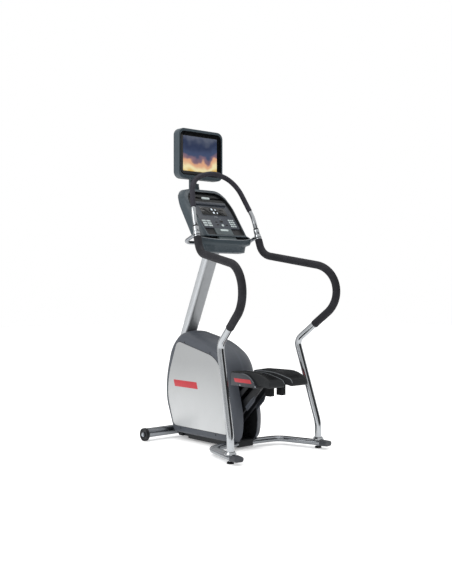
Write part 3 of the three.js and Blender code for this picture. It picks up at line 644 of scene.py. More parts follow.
def at_height(first, second, z):
    """The place at height z on the line through two places."""
    t = (z - first[2]) / (second[2] - first[2])
    return tuple(a + (b - a) * t for a, b in zip(first[:3], second[:3]))


def neck(z):
    """A place on the rail's last straight run, where the sensors are."""
    return at_height(RAIL[4], RAIL[5], z)


def arch_leg(z):
    return at_height(ARCH[0], ARCH[1], z)


def handrails():
    rail = bent(RAIL[:5] + [neck(RAIL_TOP_Z)], 4)
    grip = bent([at_height(RAIL[2], RAIL[3], GRIP_LOW_Z), RAIL[3], RAIL[4], neck(GRIP_TOP_Z)], 4)
    lower = [Vector(neck(z)) for z in (RAIL_TOP_Z + 2 * GAP, SENSOR_RING_Z[0] - GAP)]
    ring = [Vector(neck(z)) for z in SENSOR_RING_Z]
    upper = bent([neck(SENSOR_RING_Z[1] + GAP), ARCH[0], arch_leg(ARCH_GRIP_Z - 1)], 3)
    tubes = (("handrail", rail, 20.6, chrome, 2),
             ("handrail_grip", grip, 23.6, grip_foam, 5),
             ("lower_pulse_sensor", lower, 18.2, chrome, 2),
             ("sensor_ring", ring, 16.4, black, 1.5),
             ("upper_pulse_sensor", upper, 13.9, chrome, 1))
    ring_foot = Vector(neck(GRIP_TOP_Z + 5))
    end_ring = turned([(21, 0), (22.4, 1), (22.4, 5), (21, 6)], ring_foot,
                      Vector(neck(GRIP_TOP_Z + 11)) - ring_foot)
    for sign, side in SIDES:
        for node, line, radius, material, rounding in tubes:
            shape = swept(line, round_outline(radius), rounding)
            instead(f"{node}_{side}", mirror_x(shape, sign), material)
        make(f"grip_end_ring_{side}", mirror_x(end_ring, sign), black)


def arch():
    """The foam grip over the arch's thin steel tube, and the tube that holds the console."""
    for node, low_z, radius, rounding, material in (
            ("arch_grip", ARCH_GRIP_Z, 15.8, 4, arch_foam),
            ("arch_tube", ARCH_GRIP_Z - 11, 11.5, 0, steel)):
        line = bent(both_halves([arch_leg(low_z), ARCH[1]], ARCH[2]), 4)
        instead(node, swept(line, round_outline(radius), rounding), material)
    start = Vector(neck(1288)) + Vector((0, 22, 0))
    line = bent(both_halves([tuple(start), (start.x, 166, 1248, 45)]), 5)
    make("console_bracket", swept(line, round_outline(11, count=28)), bright,
         replaces=["console_bracket_tube"])


# ---------- mast
MAST_LINE = [(0, 402, 55), (0, 465, 600, 220), (0, 100, 1413)]
MAST_TUBE = (60, 98, 20)  # width, depth and corner radius
MAST_CUT = 56.6  # from its head to the flat that the console stands on


def cut_by_plane(piece, point, normal):
    """Trims a piece flat: what lies on the plane's normal side goes."""
    edit = bmesh.new()
    edit.from_mesh(piece.data)
    everything = list(edit.verts) + list(edit.edges) + list(edit.faces)
    cut = bmesh.ops.bisect_plane(edit, geom=everything, plane_co=Vector(point) * MM,
                                 plane_no=normal, clear_outer=True)
    rim = [e for e in cut["geom_cut"] if isinstance(e, bmesh.types.BMEdge)]
    bmesh.ops.edgeloop_fill(edit, edges=rim)
    bmesh.ops.recalc_face_normals(edit, faces=edit.faces)
    edit.to_mesh(piece.data)
    edit.free()
    piece.data.shade_smooth()
    piece.data.set_sharp_from_angle(angle=math.radians(CREASE))


def mast():
    shape = swept(bent(MAST_LINE, 2), tablet(*MAST_TUBE), up=X_AXIS)
    back = Vector((0, math.cos(RIM_LEAN), -math.sin(RIM_LEAN)))
    piece = make("mast_tube", shape, satin, replaces=["mast"])
    cut_by_plane(piece, MAST_HEAD + back * MAST_CUT, -back)


# ---------- shroud
# outlines are (y, z, reach)
SHROUD = [(-152, 26, 88), (-177, 190, 70), (-130, 375, 80), (-70, 560, 90), (100, 648, 60),
          (366, 702, 40), (470, 610, 80), (531, 390, 85), (528, 240, 60), (440, 26, 40)]
PANEL = [(-82, 92, 12), (-48, 330, 60), (-24, 500, 50), (48, 556, 40), (396, 632, 40),
         (480, 420, 60), (495, 280, 60), (430, 92, 30)]
CHEEK = [(-150, 52, 6), (-168, 190, 60), (-122, 372, 60), (-104, 455, 12), (60, 455, 12), (60, 52, 6)]
PANEL_SCREWS = ((323, 626), (72, 573), (361, 78), (19, 78), (-96, 200))
PANEL_THICK = 2.5
CROWN = 2.05
SHROUD_LEAD = 16  # how far the side faces sit ahead of the middle
SHROUD_WALL = 5
PART_LINE = 0.15  # half the gap between the two halves
RING_STEPS = 14
SLOT_HALF = 58
SEALS = 9
SEAL_LOW_Z = 80
SEAL_PITCH = 40


def crowned(depth, half, inset):
    """How far the skin has drawn in at a depth: a soft superellipse."""
    share = min(1, depth / half)
    return inset * (1 - (1 - share ** CROWN) ** (1 / CROWN))


def crown_rings(sign, half, wall):
    points = outline(SHROUD, 12)
    rings = []
    for k in range(RING_STEPS + 1):
        depth = PART_LINE + (half - PART_LINE) * math.sin(math.pi / 2 * k / RING_STEPS)
        inset = wall + crowned(depth, half, SHROUD_INSET - wall)
        lead = SHROUD_LEAD * crowned(depth, half, 1)
        rings.append([Vector((sign * depth, p.x + lead, p.y)) for p in drawn_in(points, inset)])
    return rings


def shroud():
    slot_cut = slab(tablet(2 * SLOT_HALF, 240, 8, (0, -180)), softened(-40, 462, 5), upright)
    floor_cut = block(-400, 400, -700, 700, -60, 50)
    width, depth, corner = MAST_TUBE
    mast_hole = swept(bent(MAST_LINE, 4), tablet(width + 4, depth + 4, corner + 2), up=X_AXIS)
    for sign, side in SIDES:
        outer = crown_rings(sign, SHROUD_HALF, 0)
        inner = crown_rings(sign, SHROUD_HALF - SHROUD_WALL, SHROUD_WALL)
        count = len(outer[0])
        points, faces = lofted(outer + inner[::-1], ends=False, ring=True)
        # the two side faces close each skin, in place of the band between them
        side_face = (len(outer) - 1) * count
        joined = range(side_face, side_face + count)
        faces = [f for f in faces if not (set(f) & set(joined) and max(f) >= side_face + count)]
        faces.append(tuple(joined))
        faces.append(tuple(range(side_face + count, side_face + 2 * count)))
        carved(f"shroud_{side}_piece", (points, faces), [floor_cut, slot_cut, mast_hole],
               charcoal, replaces=[f"shroud_{side}"], crease=40)
        side_panel(sign, side)
    slot_liner()


def stripe(y, z, width, height, slant, sign, x, rise):
    """A thin slanting bar printed on a side face that stands at x."""
    corners = [(y, z, 3), (y + width, z, 3), (y + width + slant, z + height, 3),
               (y + slant, z + height, 3)]
    profile = [((x - 0.3) * sign, 0), ((x + rise) * sign, 0), ((x + rise + 0.15) * sign, 0.5)]
    return slab(outline(corners, 4), profile, sideways)


def side_panel(sign, side):
    """A silver panel in its gasket, its printed bar, and the screws of the shroud's half."""
    inside = SHROUD_HALF + GAP
    panel = outline(PANEL)
    instead(f"side_panel_{side}", side_plate(panel, sign, inside, inside + PANEL_THICK, 1, 2), silver)
    gasket = side_plate(drawn_in(panel, -2.6), sign, SHROUD_HALF - 1, SHROUD_HALF + 1, 0.6, 2)
    make(f"side_panel_gasket_{side}", gasket, black)
    bar = stripe(186, 341, 232, 42, 14, sign, inside + PANEL_THICK, 0.35)
    make(f"side_stripe_{side}", bar, red)
    screws = [screw(((SHROUD_HALF - 0.6) * sign, y, z), (sign, 0, 0), 4.6, 2.2)
              for y, z in PANEL_SCREWS]
    make(f"shroud_screws_{side}", together(*screws), black)


def slot_liner():
    """The dark lining of the pedal arms' channel: a cheek and a row of brush seals a side."""
    seals = []
    for sign, side in SIDES:
        cheek = side_plate(drawn_in(outline(CHEEK), 6), sign, SLOT_HALF + 0.5, SLOT_HALF + 2.5, 0.6, 2)
        make(f"slot_cheek_{side}", cheek, black)
        for k in range(SEALS):
            z = SEAL_LOW_Z + SEAL_PITCH * k
            seals.append(side_block(sign, SLOT_HALF - 1.8, SLOT_HALF - 0.4, -100, -60, z, z + 26, 0.6))
    make("slot_seals", together(*seals), rubber)


# ---------- pedals and linkage
PEDAL_INNER_X = 30
PEDAL_OUTER_X = 155
PEDAL_FOOT = [(-490, PEDAL_TOP - 84, 23), (-380, PEDAL_TOP - 68, 40), (-160, PEDAL_TOP - 72, 20)]
PEDAL_INNER = [(-152, PEDAL_TOP - 9, 20), (-335, PEDAL_TOP - 10, 60),
               (-474, PEDAL_TOP - 41, 20)] + PEDAL_FOOT
PEDAL_OUTER = [(-152, PEDAL_TOP - 5, 20), (-405, PEDAL_TOP, 60), (-484, PEDAL_TOP - 42, 17)] + PEDAL_FOOT
COVER_DEPTH = 13
COVER = [(-393, 402, 8), (-175, 402, 4), (-175, 476, 6), (-330, 476, 60)]
GUSSET = [(-157, 262, 8), (-214, 318, 10), (-262, 346, 10), (-244, 296, 14), (-176, 232, 10)]
ARM = (24, 40)  # inner and outer x of an arm, an ear and a link
EAR = (42, 47)
LINK = (49, 55)
RIB_PITCH = 9  # of the footbed's and the stop block's ribs


def pedal_outline(share):
    """The pedal's (y, z) outline; share is 0 at its inner edge and 1 at its outer edge."""
    corners = [tuple(a + (b - a) * share for a, b in zip(*pair))
               for pair in zip(PEDAL_INNER, PEDAL_OUTER)]
    return outline(corners, 10)


def footbed_line(share, drop, start=-166, end=-478):
    """Points along the pedal's top from toe to heel, drop below the surface."""
    top = drawn_in(pedal_outline(share), drop)
    line = [p for p in top if end < p.x < start and p.y > PEDAL_TOP - (66 if p.x < -250 else 30)]
    return sorted(line, key=lambda p: -p.x)


def resampled(points, gap):
    """The same open line with points a fixed gap apart."""
    made = [points[0]]
    for target in points[1:]:
        while (target - made[-1]).length > gap:
            made.append(made[-1] + (target - made[-1]).normalized() * gap)
    return made


def strip(line, x, width, height):
    """A thin bar that lies on a (y, z) line."""
    path = [Vector((x, p.x, p.y)) for p in line]
    return swept(path, tablet(width, height, min(width, height) / 2 - 0.01), up=X_AXIS)


def pedal_hull(sign):
    """A tread whose top dishes from its outer to its inner edge."""
    x0, x1 = PEDAL_INNER_X * sign, PEDAL_OUTER_X * sign
    skin = softened(x0, x1, 5, 4)
    half = len(skin) // 2
    middle = [(x0 + (x1 - x0) * k / 8, 0) for k in range(1, 8)]
    rings = []
    for x, inset in skin[:half] + middle + skin[half:]:
        share = (abs(x) - PEDAL_INNER_X) / (PEDAL_OUTER_X - PEDAL_INNER_X)
        rings.append([Vector((x, p.x, p.y)) for p in drawn_in(pedal_outline(share), inset)])
    return lofted(rings)


def pedal(sign, side):
    body = f"{side}_pedal"
    y, z = PEDAL_PIVOT
    pocket = side_block(sign, -5, 59, y - 26, 0, 300, PEDAL_TOP - 36)
    carved(f"pedal_{side}_piece", pedal_hull(sign), [pocket], tread, body, [f"pedal_{side}"])
    ribs = []
    lines = [resampled(footbed_line(share, 0.6), RIB_PITCH) for share in (0.1, 0.9)]
    for near, far in zip(*lines):
        line = [Vector(((PEDAL_INNER_X + 11) * sign, near.x, near.y)),
                Vector(((PEDAL_OUTER_X - 11) * sign, far.x, far.y))]
        ribs.append(swept(line, tablet(4.4, 3.4, 1.2), up=UP))
    make(f"pedal_grip_ribs_{side}", together(*ribs), rubber, body)
    # a pale strip painted as a highlight along the pedal's inner edge; the rim itself is charcoal plastic
    rim = strip(footbed_line(0, 0.2, -158, -488), (PEDAL_INNER_X + 2.5) * sign, 3.2, 1.8)
    make(f"pedal_rim_highlight_{side}", rim, pale_key_and_rim_highlight, body, slot="charcoal_plastic")
    toe = slab(tablet(84, 56, 10, (102 * sign, PEDAL_TOP - 42)), softened(-151, -155, 1.5, 2), ahead)
    make(f"pedal_toe_stop_{side}", toe, black, body)
    corners = [(y - 22, z - 20, 16), (y + 20, z - 20, 16), (y + 74, z + 6, 16),
               (y + 74, PEDAL_TOP - 40, 0), (y - 22, PEDAL_TOP - 40, 0)]
    ear = side_plate(outline(corners), sign, *EAR, 0.8, 2)
    link_pivot = (y + LINK_OFFSET[0], z + LINK_OFFSET[1])
    pins = [axle([(7, 0), (7, 28)], sign, 20, PEDAL_PIVOT, PIN_ROUND),
            axle([(7, 0), (7, 14)], sign, 43, link_pivot, PIN_ROUND)]
    make(f"pedal_ear_{side}", together(ear, *pins), paint_dark, body)
    bolts = [screw((EAR[1] * sign, y - 4, z + 22), (sign, 0, 0), 4, 2),
             screw((20.4 * sign, y, z), (-sign, 0, 0), 9, 2.4)]
    make(f"pedal_bolts_{side}", together(*bolts), steel, body)
    link_cover(sign, side, body)
    under_pedal(sign, side, body)


def link_cover(sign, side, body):
    """The cover on the pedal's outer side, with a pale painted highlight along its rim, a printed bar and
    two screws.
    """
    near, far = PEDAL_OUTER_X + GAP, PEDAL_OUTER_X + COVER_DEPTH
    instead(f"link_cover_{side}", side_plate(outline(COVER, 12), sign, near, far, 3, 4),
            cover_plastic, body)
    # a pale strip painted as a highlight along the cover's upper rim
    rim = [p for p in drawn_in(outline(COVER, 16), 0.4) if p.y > 412 and p.x < -182]
    rim.sort(key=lambda p: -p.x + 0.001 * p.y)
    make(f"link_cover_rim_highlight_{side}", strip(rim, (far - 2.2) * sign, 3, 1.6), pale_key_and_rim_highlight, body)
    make(f"link_cover_stripe_{side}", stripe(-352, 424, 140, 22, 10, sign, far, 0.25), red, body)
    heads = [screw(((far - 0.4) * sign, y, 409), (sign, 0, 0), 4.2, 2) for y in (-254, -384)]
    make(f"link_cover_screws_{side}", together(*heads), steel, body)


def under_pedal(sign, side, body):
    """The ribbed stop block below the footbed and the plate that holds it."""
    rows = []
    for k in range(5):
        y = -397 + RIB_PITCH * k
        rows.append(side_block(sign, 28, 64, y, y + 6.5, 346, 408, 2))
    core = side_block(sign, 30, 62, -395, -357, 349, 409, 3)
    instead(f"stop_bumper_{side}", together(core, *rows), rubber, body)
    plate = side_block(sign, 66, 150, -352, -190, 405, 417, 3)
    ribs = [side_block(sign, x, x + 4, -345, -200, 396, 408, 1.5) for x in range(70, 148, 13)]
    make(f"pedal_underside_{side}", together(plate, *ribs), black, body)


def pivot_bar(start, end, first, second):
    """A bar's outline between two pivots, with rounded ends of two radii."""
    a, b = Vector(start), Vector(end)
    along = (b - a).normalized()
    angle = math.atan2(along.y, along.x)
    lean = math.asin((first - second) / (b - a).length)
    quarter = math.pi / 2
    ends = ((a, first, quarter - lean, 3 * quarter + lean),
            (b, second, lean - quarter, quarter - lean))
    made = []
    for centre, radius, low, high in ends:
        for k in range(2 * FINE + 1):
            turn = angle + low + (high - low) * k / (2 * FINE)
            made.append(centre + Vector((math.cos(turn), math.sin(turn))) * radius)
    return made


def linkage():
    y, z = LINK_OFFSET
    near = (ARM_PIVOT[0] + y, ARM_PIVOT[1] + z)
    far = (PEDAL_PIVOT[0] + y, PEDAL_PIVOT[1] + z)
    shaft = [(10.5, 0), (12, 1.5), (12, 153.9), (10.5, 155.4)]
    instead("arm_shaft", axle(shaft, 1, -77.7, ARM_PIVOT), steel)
    for sign, side in SIDES:
        body = f"{side}_arm"
        arm = side_plate(pivot_bar(ARM_PIVOT, PEDAL_PIVOT, 38, 19), sign, *ARM, 2.5)
        instead(f"pedal_arm_{side}", arm, paint_dark, body)
        gusset = side_plate(drawn_in(outline(GUSSET), 3), sign, ARM[1] + 0.05, ARM[1] + 1.6, 0.6, 2)
        make(f"arm_gusset_{side}", gusset, charcoal, body)
        hub = [(12.4, 0), (24, 0), (26, 2), (26, 6), (12.4, 6.4), (12.4, 0)]
        make(f"arm_hub_{side}", axle(hub, sign, ARM[1], ARM_PIVOT), steel, body)
        link = side_plate(pivot_bar(near, far, 15, 13), sign, *LINK, 1.2)
        instead(f"leveling_link_{side}", link, paint_dark, f"{side}_link")
        pedal(sign, side)


# ---------- drive inside the shroud
def coil(x, y, z0, z1, radius, wire, turns):
    """A return spring."""
    per_turn = 20
    steps = turns * per_turn
    line = []
    for k in range(steps + 1):
        angle = 2 * math.pi * k / per_turn
        line.append(Vector((x + radius * math.cos(angle), y + radius * math.sin(angle),
                            z0 + (z1 - z0) * k / steps)))
    return swept(line, round_outline(wire, count=8))


def cogs(radius, teeth, centre):
    """A sprocket's outline, with four points to a tooth."""
    tooth = 3.5
    made = []
    for k in range(teeth * 4):
        reach = radius if k % 4 < 2 else radius - tooth
        angle = 2 * math.pi * (k + 0.5) / (teeth * 4)
        made.append(Vector((reach * math.cos(angle), reach * math.sin(angle))) + Vector(centre))
    return made


def drive():
    hub = [(9.4, 0), (21, 0), (22, 1), (22, 15), (21, 16), (9.4, 16), (9.4, 0)]
    for sign, side in SIDES:
        instead(f"return_spring_{side}", coil(32 * sign, 172, 63, 237, 11, 1.9, 22), steel)
        wheel = side_plate(cogs(32, 18, STEP_UP), sign, 28, 36, 0.6, 2)
        instead(f"clutch_sprocket_{side}", together(wheel, axle(hub, sign, 24, STEP_UP)), steel,
                f"{side}_clutch")
    for node, material in (("base_spine", paint_dark), ("drive_belt", belt),
                           ("step_up_shaft", steel), ("alternator_pulley", steel),
                           ("alternator_body", satin)):
        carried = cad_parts[node].data
        carried.materials.clear()
        carried.materials.append(material)


# ---------- console
SIN, COS = math.sin(DECK_LEAN), math.cos(DECK_LEAN)
RIM_TAN = math.tan(RIM_LEAN)
DECK_TAN = math.tan(DECK_LEAN)
# half width, half shoulder, low z, high z, z of the widest place, reach, half foot
WELL = (174, 130, 1296, 1579, 1500, 52, 150)
FACE_LOW = 98
FACE_HALF = 150
STOP_KEY = (14, 122)  # x, and the way up the face
START_KEY = (6, 82)
TRAY_REAR = 110.7
TRAY_CLIMB = 0.42  # rise of its rim for each millimetre to the back
# half width, front y, gap to the rear, z, climb, reach of the front corners
TRAY_OUTSIDE = [(140, 44, 0, 1184, 0, 60), (168, 37, 0, 1190, 0, 70), (176, 34, 0, 1229, 0, 72),
                (205, 28, 0, 1238, 0, 84), (211, 26, 0, 1246, 0.1, 84),
                (212, 26, 0, 1262, TRAY_CLIMB, 84), (211, 27, 1, 1264.5, TRAY_CLIMB, 84),
                (208, 30, 3, 1264.5, TRAY_CLIMB, 84), (206, 32, 4, 1262, TRAY_CLIMB, 84),
                (202, 36, 5, 1240, 0.1, 82), (170, 42, 6, 1234, 0, 70), (160, 50, 8, 1200, 0, 62)]
TRAY_LINING = [(159.4, 50.6, 8.6, 1200.6, 0, 62), (169.4, 42.6, 6.6, 1234.6, 0, 70),
               (201.4, 36.6, 5.6, 1240.6, 0.1, 82), (205, 33, 5, 1260, TRAY_CLIMB, 84)]


def on_deck(x, s, depth):
    """A place on the console's face: s up along it, depth into the console."""
    return Vector((x, DECK_FOOT[0] + s * SIN + depth * COS, DECK_FOOT[1] + s * COS - depth * SIN))


def deck_slab(points, start, end, edge, steps=3):
    """A slab of an (x, s) outline, from one depth into the console's face to another."""
    return slab(points, softened(start, end, edge, steps), on_deck)


def leaned(shape):
    """A shape that stands upright at the mast's head, laid back with the console."""
    points, faces = shape
    lean = Matrix.Rotation(-RIM_LEAN, 4, "X")
    return [MAST_HEAD + lean @ Vector(p) for p in points], faces


def shell_ring(size, foot_y, slope):
    """The console's outline on a plane that leans back by slope from foot_y."""
    half, shoulder, low, high, widest_z, reach, foot = size
    corners = [(-foot, low, 10), (foot, low, 10), (half, widest_z, 50), (shoulder, high, reach),
               (-shoulder, high, reach), (-half, widest_z, 50)]
    return [Vector((p.x, foot_y + (p.y - DECK_FOOT[1]) * slope, p.y)) for p in outline(corners)]


def console_shell():
    front = DECK_FOOT[0]
    rings = ((WELL, front + 14, DECK_TAN),
             (WELL, front - 8, DECK_TAN),
             ((178, 135, 1291, 1584, 1503, 54, 155), front - 9, DECK_TAN),
             ((182, 139, 1287, 1587, 1505, 56, 161), front - 5, DECK_TAN),
             ((188, 149, 1280, 1592, 1508, 62, 176), 74, 0.66),
             ((190, 153, 1276, 1595, 1508, 66, 184), 108, RIM_TAN),
             ((191, 155, 1272, 1594, 1508, 66, 187), 146, 0.61),
             ((187, 151, 1274, 1590, 1504, 64, 183), 154, 0.61),
             ((170, 134, 1284, 1576, 1490, 56, 166), 158, 0.61))
    back_cut = leaned(block(-36, 36, 42, 312, -124, 366))
    carved("console_shell_piece", lofted([shell_ring(*r) for r in rings]), [back_cut], slate,
           replaces=["console_shell"], crease=50)
    # the black lining of the well that the face sits in; its black also paints the shade on the well's
    # inner wall
    half, shoulder, low, high, widest_z, reach, foot = WELL
    rings = []
    for inset, y in ((0.5, front + 13), (0.5, front - 8.4), (2, front - 8.4), (4, front + 9)):
        size = (half - inset, shoulder - inset, low + inset, high - inset, widest_z, reach, foot - inset)
        rings.append(shell_ring(size, y, DECK_TAN))
    make("console_well", lofted(rings), black, slot="gloss_black", crease=50)


def tray_ring(half, front, gap, low, climb, reach):
    """The tub's outline at one height; climb lifts it towards the back."""
    rear = TRAY_REAR - gap
    points = outline([(-half, rear, 8), (-half, front + 30, 24), (reach - half, front, 50),
                      (half - reach, front, 50), (half, front + 30, 24), (half, rear, 8)], 10)
    return [Vector((p.x, p.y, low + climb * max(0, p.y - 26))) for p in points]


def tray():
    """The lower tub: an open bowl with a stepped underside and a rim that climbs to the back."""
    instead("console_tray", lofted([tray_ring(*r) for r in TRAY_OUTSIDE]), slate, crease=40)
    # a pale strip painted as a highlight round the tub's front rim
    edge = tray_ring(209.5, 28.5, 2, 1264.9, TRAY_CLIMB, 84)
    front = [p for p in edge if p.y < TRAY_REAR - 9]
    front.sort(key=lambda p: math.atan2(p.x, 120 - p.y))
    make("tray_rim_highlight", swept(front, round_outline(2.2, count=10)), pale_key_and_rim_highlight)
    # a black skin over the tub's inside: painted shade in its hollow
    inside = [tray_ring(*r) for r in TRAY_LINING]
    outside = [[p + Vector((0, 0, -0.5)) for p in ring] for ring in inside[::-1]]
    make("tray_inside_shade", lofted(inside + outside), black, slot="gloss_black")


def console_face():
    """The face in its well: label, ledge, display, keys, and the bins with the ramp between."""
    face = [(-FACE_HALF, FACE_LOW, 10), (FACE_HALF, FACE_LOW, 10), (FACE_HALF, 250, 40),
            (134, 322, 6), (-134, 322, 6), (-FACE_HALF, 250, 40)]
    make("console_face", deck_slab(outline(face), 1.5, 12, 1.5), face_plastic,
         replaces=["console_face_panel"], slot="charcoal_plastic")
    make("console_label", deck_slab(tablet(64, 17, 8, (0, 357)), 2.4, 8, 0.6, 2), keys)
    ledge = [(-132, 292, 6), (132, 292, 6), (128, 314, 6), (-128, 314, 6)]
    make("console_ledge", deck_slab(outline(ledge), -8, 2, 3), face_plastic)
    bins = [(-146, 4, 10), (146, 4, 10), (158, FACE_LOW - 1, 4), (-158, FACE_LOW - 1, 4)]
    make("console_bins", deck_slab(outline(bins), 15, 44, 2), black, slot="gloss_black")
    ramp = [(-70, 3, 5), (70, 3, 5), (68, FACE_LOW + 2, 4), (-68, FACE_LOW + 2, 4)]
    make("console_ramp", deck_slab(outline(ramp), 1.5, 62, 1.5), ramp_paint)
    displays()
    keypads()


def displays():
    make("display_frame", deck_slab(tablet(222, 82, 12, (0, 242)), 0, 3, 1, 2), face_plastic)
    instead("display_window", deck_slab(tablet(204, 66, 8, (0, 240)), -1.6, 0, 0.5, 2), glossy)
    insets = [deck_slab(tablet(*size, 3, place), -2.2, -1, 0.4, 2)
              for size, place in (((34, 14), (68, 228)), ((34, 14), (68, 254)), ((56, 50), (-62, 240)))]
    make("display_insets", together(*insets), glossy)
    digits = []
    for x, s in ((-8, 255), (20, 253), (-4, 227), (24, 226)):
        size = 5 if x < 10 else 3.4
        digits.append(deck_slab(tablet(2.4 * size, 3 * size, 2, (x, s)), -2.3, -1.2, 0.3, 2))
    make("display_digits", together(*digits), lit)


def key(x, s, width, height, rise=3.2, radius=None):
    """A key with softened edges, rise above the plate it stands on."""
    reach = radius if radius is not None else min(width, height) * 0.3
    return deck_slab(tablet(width, height, reach, (x, s)), 1.5 - rise, 2, 1.1)


def keypads():
    light = [key(x, s, 31, 12) for x in (-122, -86) for s in (117, 136, 155)]
    light += [key(x, s, 12, 11) for x in (88, 104, 120) for s in (118, 135, 152, 169)]
    make("light_key_pads", together(*light), keys)
    plates = [deck_slab(tablet(80, 64, 8, (-104, 136)), 0.6, 2, 0.5, 2),
              deck_slab(tablet(54, 74, 8, (104, 143)), 0.6, 2, 0.5, 2)]
    make("key_pad_plates", together(*plates), face_plastic)
    dark = [key(20, 156, 26, 12, 2.6, 5.9)]
    dark += [key(x, s, 16, 8, 2.2) for x, s in ((-22, 128), (52, 128), (-22, 150))]
    make("dark_keys", together(*dark), glossy)
    pale = [key(-4, 192, 30, 7, 2.2, 3.4), key(20, 175, 14, 5, 2.2, 2.4)]
    make("pale_keys", together(*pale), pale_key_and_rim_highlight, slot="slate_plastic")
    instead("stop_key", deck_slab(round_outline(9, STOP_KEY), -2.6, 2, 1.4), keys,
            "stop_button", slot="silver_panel")
    instead("start_key", key(*START_KEY, 64, 15, 2.6, 7.4), keys, "start_button", slot="silver_panel")


# ---------- screen
def facing(x, z, depth):
    """(x, z) outlines of the screen with their depth away from the user."""
    return Vector((x, SCREEN_FRONT + depth, SCREEN_Z + z))


def centred(half, corner):
    """A rectangle round the opening's middle, from its half sizes."""
    return tablet(2 * half[0], 2 * half[1], corner, (0, PICTURE_LIFT))


def faced(profile, points):
    """Rings of one outline: profile is (depth, inset) from front to back."""
    return [[facing(p.x, p.y, depth) for p in drawn_in(points, inset)] for depth, inset in profile]


def screen():
    case = tablet(2 * SCREEN_HALF[0], 2 * SCREEN_HALF[1], 44)
    opening = centred(OPENING_HALF, 34)
    rings = faced([(16, 0), (4, 0), (1.4, 0.8), (0.3, 2.4), (0, 5)], case)
    rings += faced([(1, 0), (16, 0)], opening)
    make("screen_bezel", lofted(rings, ring=True), slate, "screen", ["screen_front_bezel"], crease=40)
    mask = faced([(15, 0.2), (2.5, 0.2), (2.5, 1.5), (10, 27), (15, 27)], opening)
    make("screen_mask", lofted(mask, ring=True), glossy, "screen")
    back = [(16.3, 1.2), (17, 0), (50, 0), (56, 1.5), (60, 5), (62, 12), (62.1, 40)]
    vents = [slab(tablet(90, 3, 1.4, (0, 92 + 9 * k)), [(63, 0), (50, 0)], facing) for k in range(-1, 3)]
    carved("screen_housing", slab(case, back, facing), vents, slate, "screen",
           ["screen_rear_housing"], crease=40)
    glass = slab(centred((145, 121), 9), [(15.5, 0), (11.4, 0), (11.2, 0.3)], facing)
    make("screen_glass", glass, glossy, "screen", ["screen_panel"])
    image = slab(centred(PICTURE_HALF, 3), [(11.3, 0), (10.9, 0)], facing)
    make("screen_picture", image, picture(), "screen")
    mark = slab(tablet(22, 5, 2.2, (0, -125)), [(8, 0), (4.6, 0), (4.2, 0.5)], facing)
    make("screen_indicator", mark, red, "screen")
    ear = outline([(359, 1776, 0), (406, 1786, 12), (406, 1814, 12), (359, 1824, 0)])
    ears = [side_plate(ear, sign, 30, 36, 1, 2) for sign, _ in SIDES]
    pin = axle([(3.6, 0), (4, 0.5), (4, 77.5), (3.6, 78)], 1, -39, SCREEN_HINGE)
    make("screen_hinge_ears", together(*ears, pin), slate, "screen")


def post():
    """The screen's post: a foot on the console, a flat cover, and the barrel of the hinge."""
    foot = turned([(26, 0), (28, 1), (27.5, 10), (24.5, 30), (24, 42)], (0, 363, 1596), UP, 48)
    cover = block(-26, 26, 376, 400, 1600, 1800, 5)
    shoulder = block(-18, 18, 360, 396, 1600, 1633, 4)
    barrel = axle([(4.4, 0), (13, 0), (14, 1), (14, 55), (13, 56), (4.4, 56), (4.4, 0)], 1, -28,
                  SCREEN_HINGE)
    plate = leaned(block(-28, 28, 42.3, 56.3, 50, 402, 3))
    instead("screen_post", together(foot, cover, shoulder, barrel, plate), slate)


# ---------- studio, in metres
CAMERA_PLACE = (-3.493, -3.948, 0.990)
CAMERA_HEADING = (0.657, 0.754)  # x, y of the way it looks
CAMERA_PITCH = math.radians(-0.487)
CAMERA_LENS = 53  # its focal length in millimetres
FLOOR_HALF = 14
LIT_PLACE = (0, 0, 0.9)  # what both lamps point at


def aimed(name, data, place, way):
    """A lamp or a camera that stands at place and looks along way."""
    made = placed(name, data)
    made.location = place
    made.rotation_euler = way.to_track_quat("-Z", "Y").to_euler()
    return made


def area_light(name, place, side, power):
    data = bpy.data.lights.new(name, "AREA")
    data.size = side
    data.energy = power
    aimed(name, data, place, Vector(LIT_PLACE) - Vector(place))


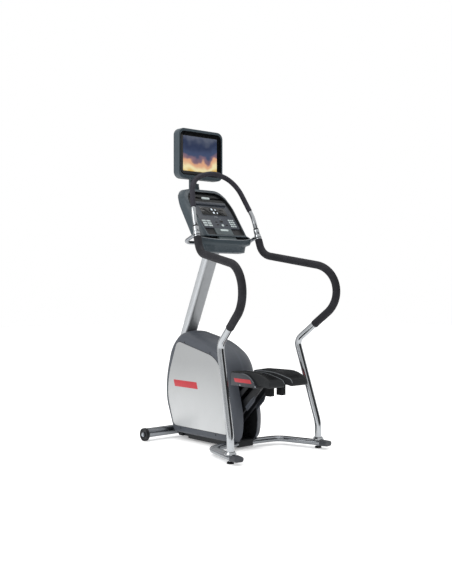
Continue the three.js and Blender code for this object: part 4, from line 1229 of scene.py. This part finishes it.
def stage_plane(name, corners, code):
    mesh = bpy.data.meshes.new(name)
    mesh.from_pydata(corners, [], [(0, 1, 2, 3)])
    plane = placed(name, mesh)
    plane.data.materials.append(surface(name + "_paint", code, 0.6, grain=40, bump=0.02,
                                        vary=0.004, worn=0))
    return plane


def dark_card(name, x0, y0, x1, y1, high):
    """An upright dark board that mirrors see, for the stripes in the chrome."""
    low = -0.1
    card = stage_plane(name, [(x0, y0, low), (x1, y1, low), (x1, y1, high), (x0, y0, high)], "16171a")
    card.visible_camera = False
    card.visible_diffuse = False
    card.visible_shadow = False
    card.visible_transmission = False


def studio():
    """A white floor and sky, two soft lamps, and the dark boards round them."""
    world = bpy.data.worlds.new("studio")
    bpy.context.scene.world = world
    world.use_nodes = True
    sky = world.node_tree.nodes["Background"]
    sky.inputs["Color"].default_value = (1, 1, 1, 1)
    sky.inputs["Strength"].default_value = 1.0
    corners = [(x * FLOOR_HALF, y * FLOOR_HALF, 0) for x, y in ((-1, -1), (1, -1), (1, 1), (-1, 1))]
    floor = stage_plane("floor", corners, "ffffff")
    shader = floor.data.materials[0].node_tree.nodes["Principled BSDF"]
    shader.inputs["Emission Color"].default_value = (1, 1, 1, 1)
    shader.inputs["Emission Strength"].default_value = 0.3
    area_light("key", (-3.6, 0.4, 3.2), 2.4, 70)
    area_light("top", (0.4, 0.2, 4.4), 2.6, 60)
    dark_card("card_rear", -1.6, -5.6, 7.5, -4.4, 4.6)
    dark_card("card_left", -5.6, -1.0, -5.3, -0.2, 4.2)
    dark_card("card_corner", -5.2, -3.4, -4.9, -3.9, 4.2)
    dark_card("card_far", -2.4, 5.2, -1.4, 5.4, 4.2)
    dark_card("card_far_right", 2.2, 5.2, 5.2, 3.0, 4.2)
    bpy.context.scene.view_settings.view_transform = "Standard"


def camera():
    data = bpy.data.cameras.new("camera")
    data.lens = CAMERA_LENS
    data.sensor_width = 36
    level = math.cos(CAMERA_PITCH)
    way = Vector((CAMERA_HEADING[0] * level, CAMERA_HEADING[1] * level, math.sin(CAMERA_PITCH)))
    bpy.context.scene.camera = aimed("camera", data, CAMERA_PLACE, way)


base()
front_end()
handrails()
arch()
mast()
shroud()
linkage()
drive()
console_shell()
tray()
console_face()
screen()
post()
studio()
camera()
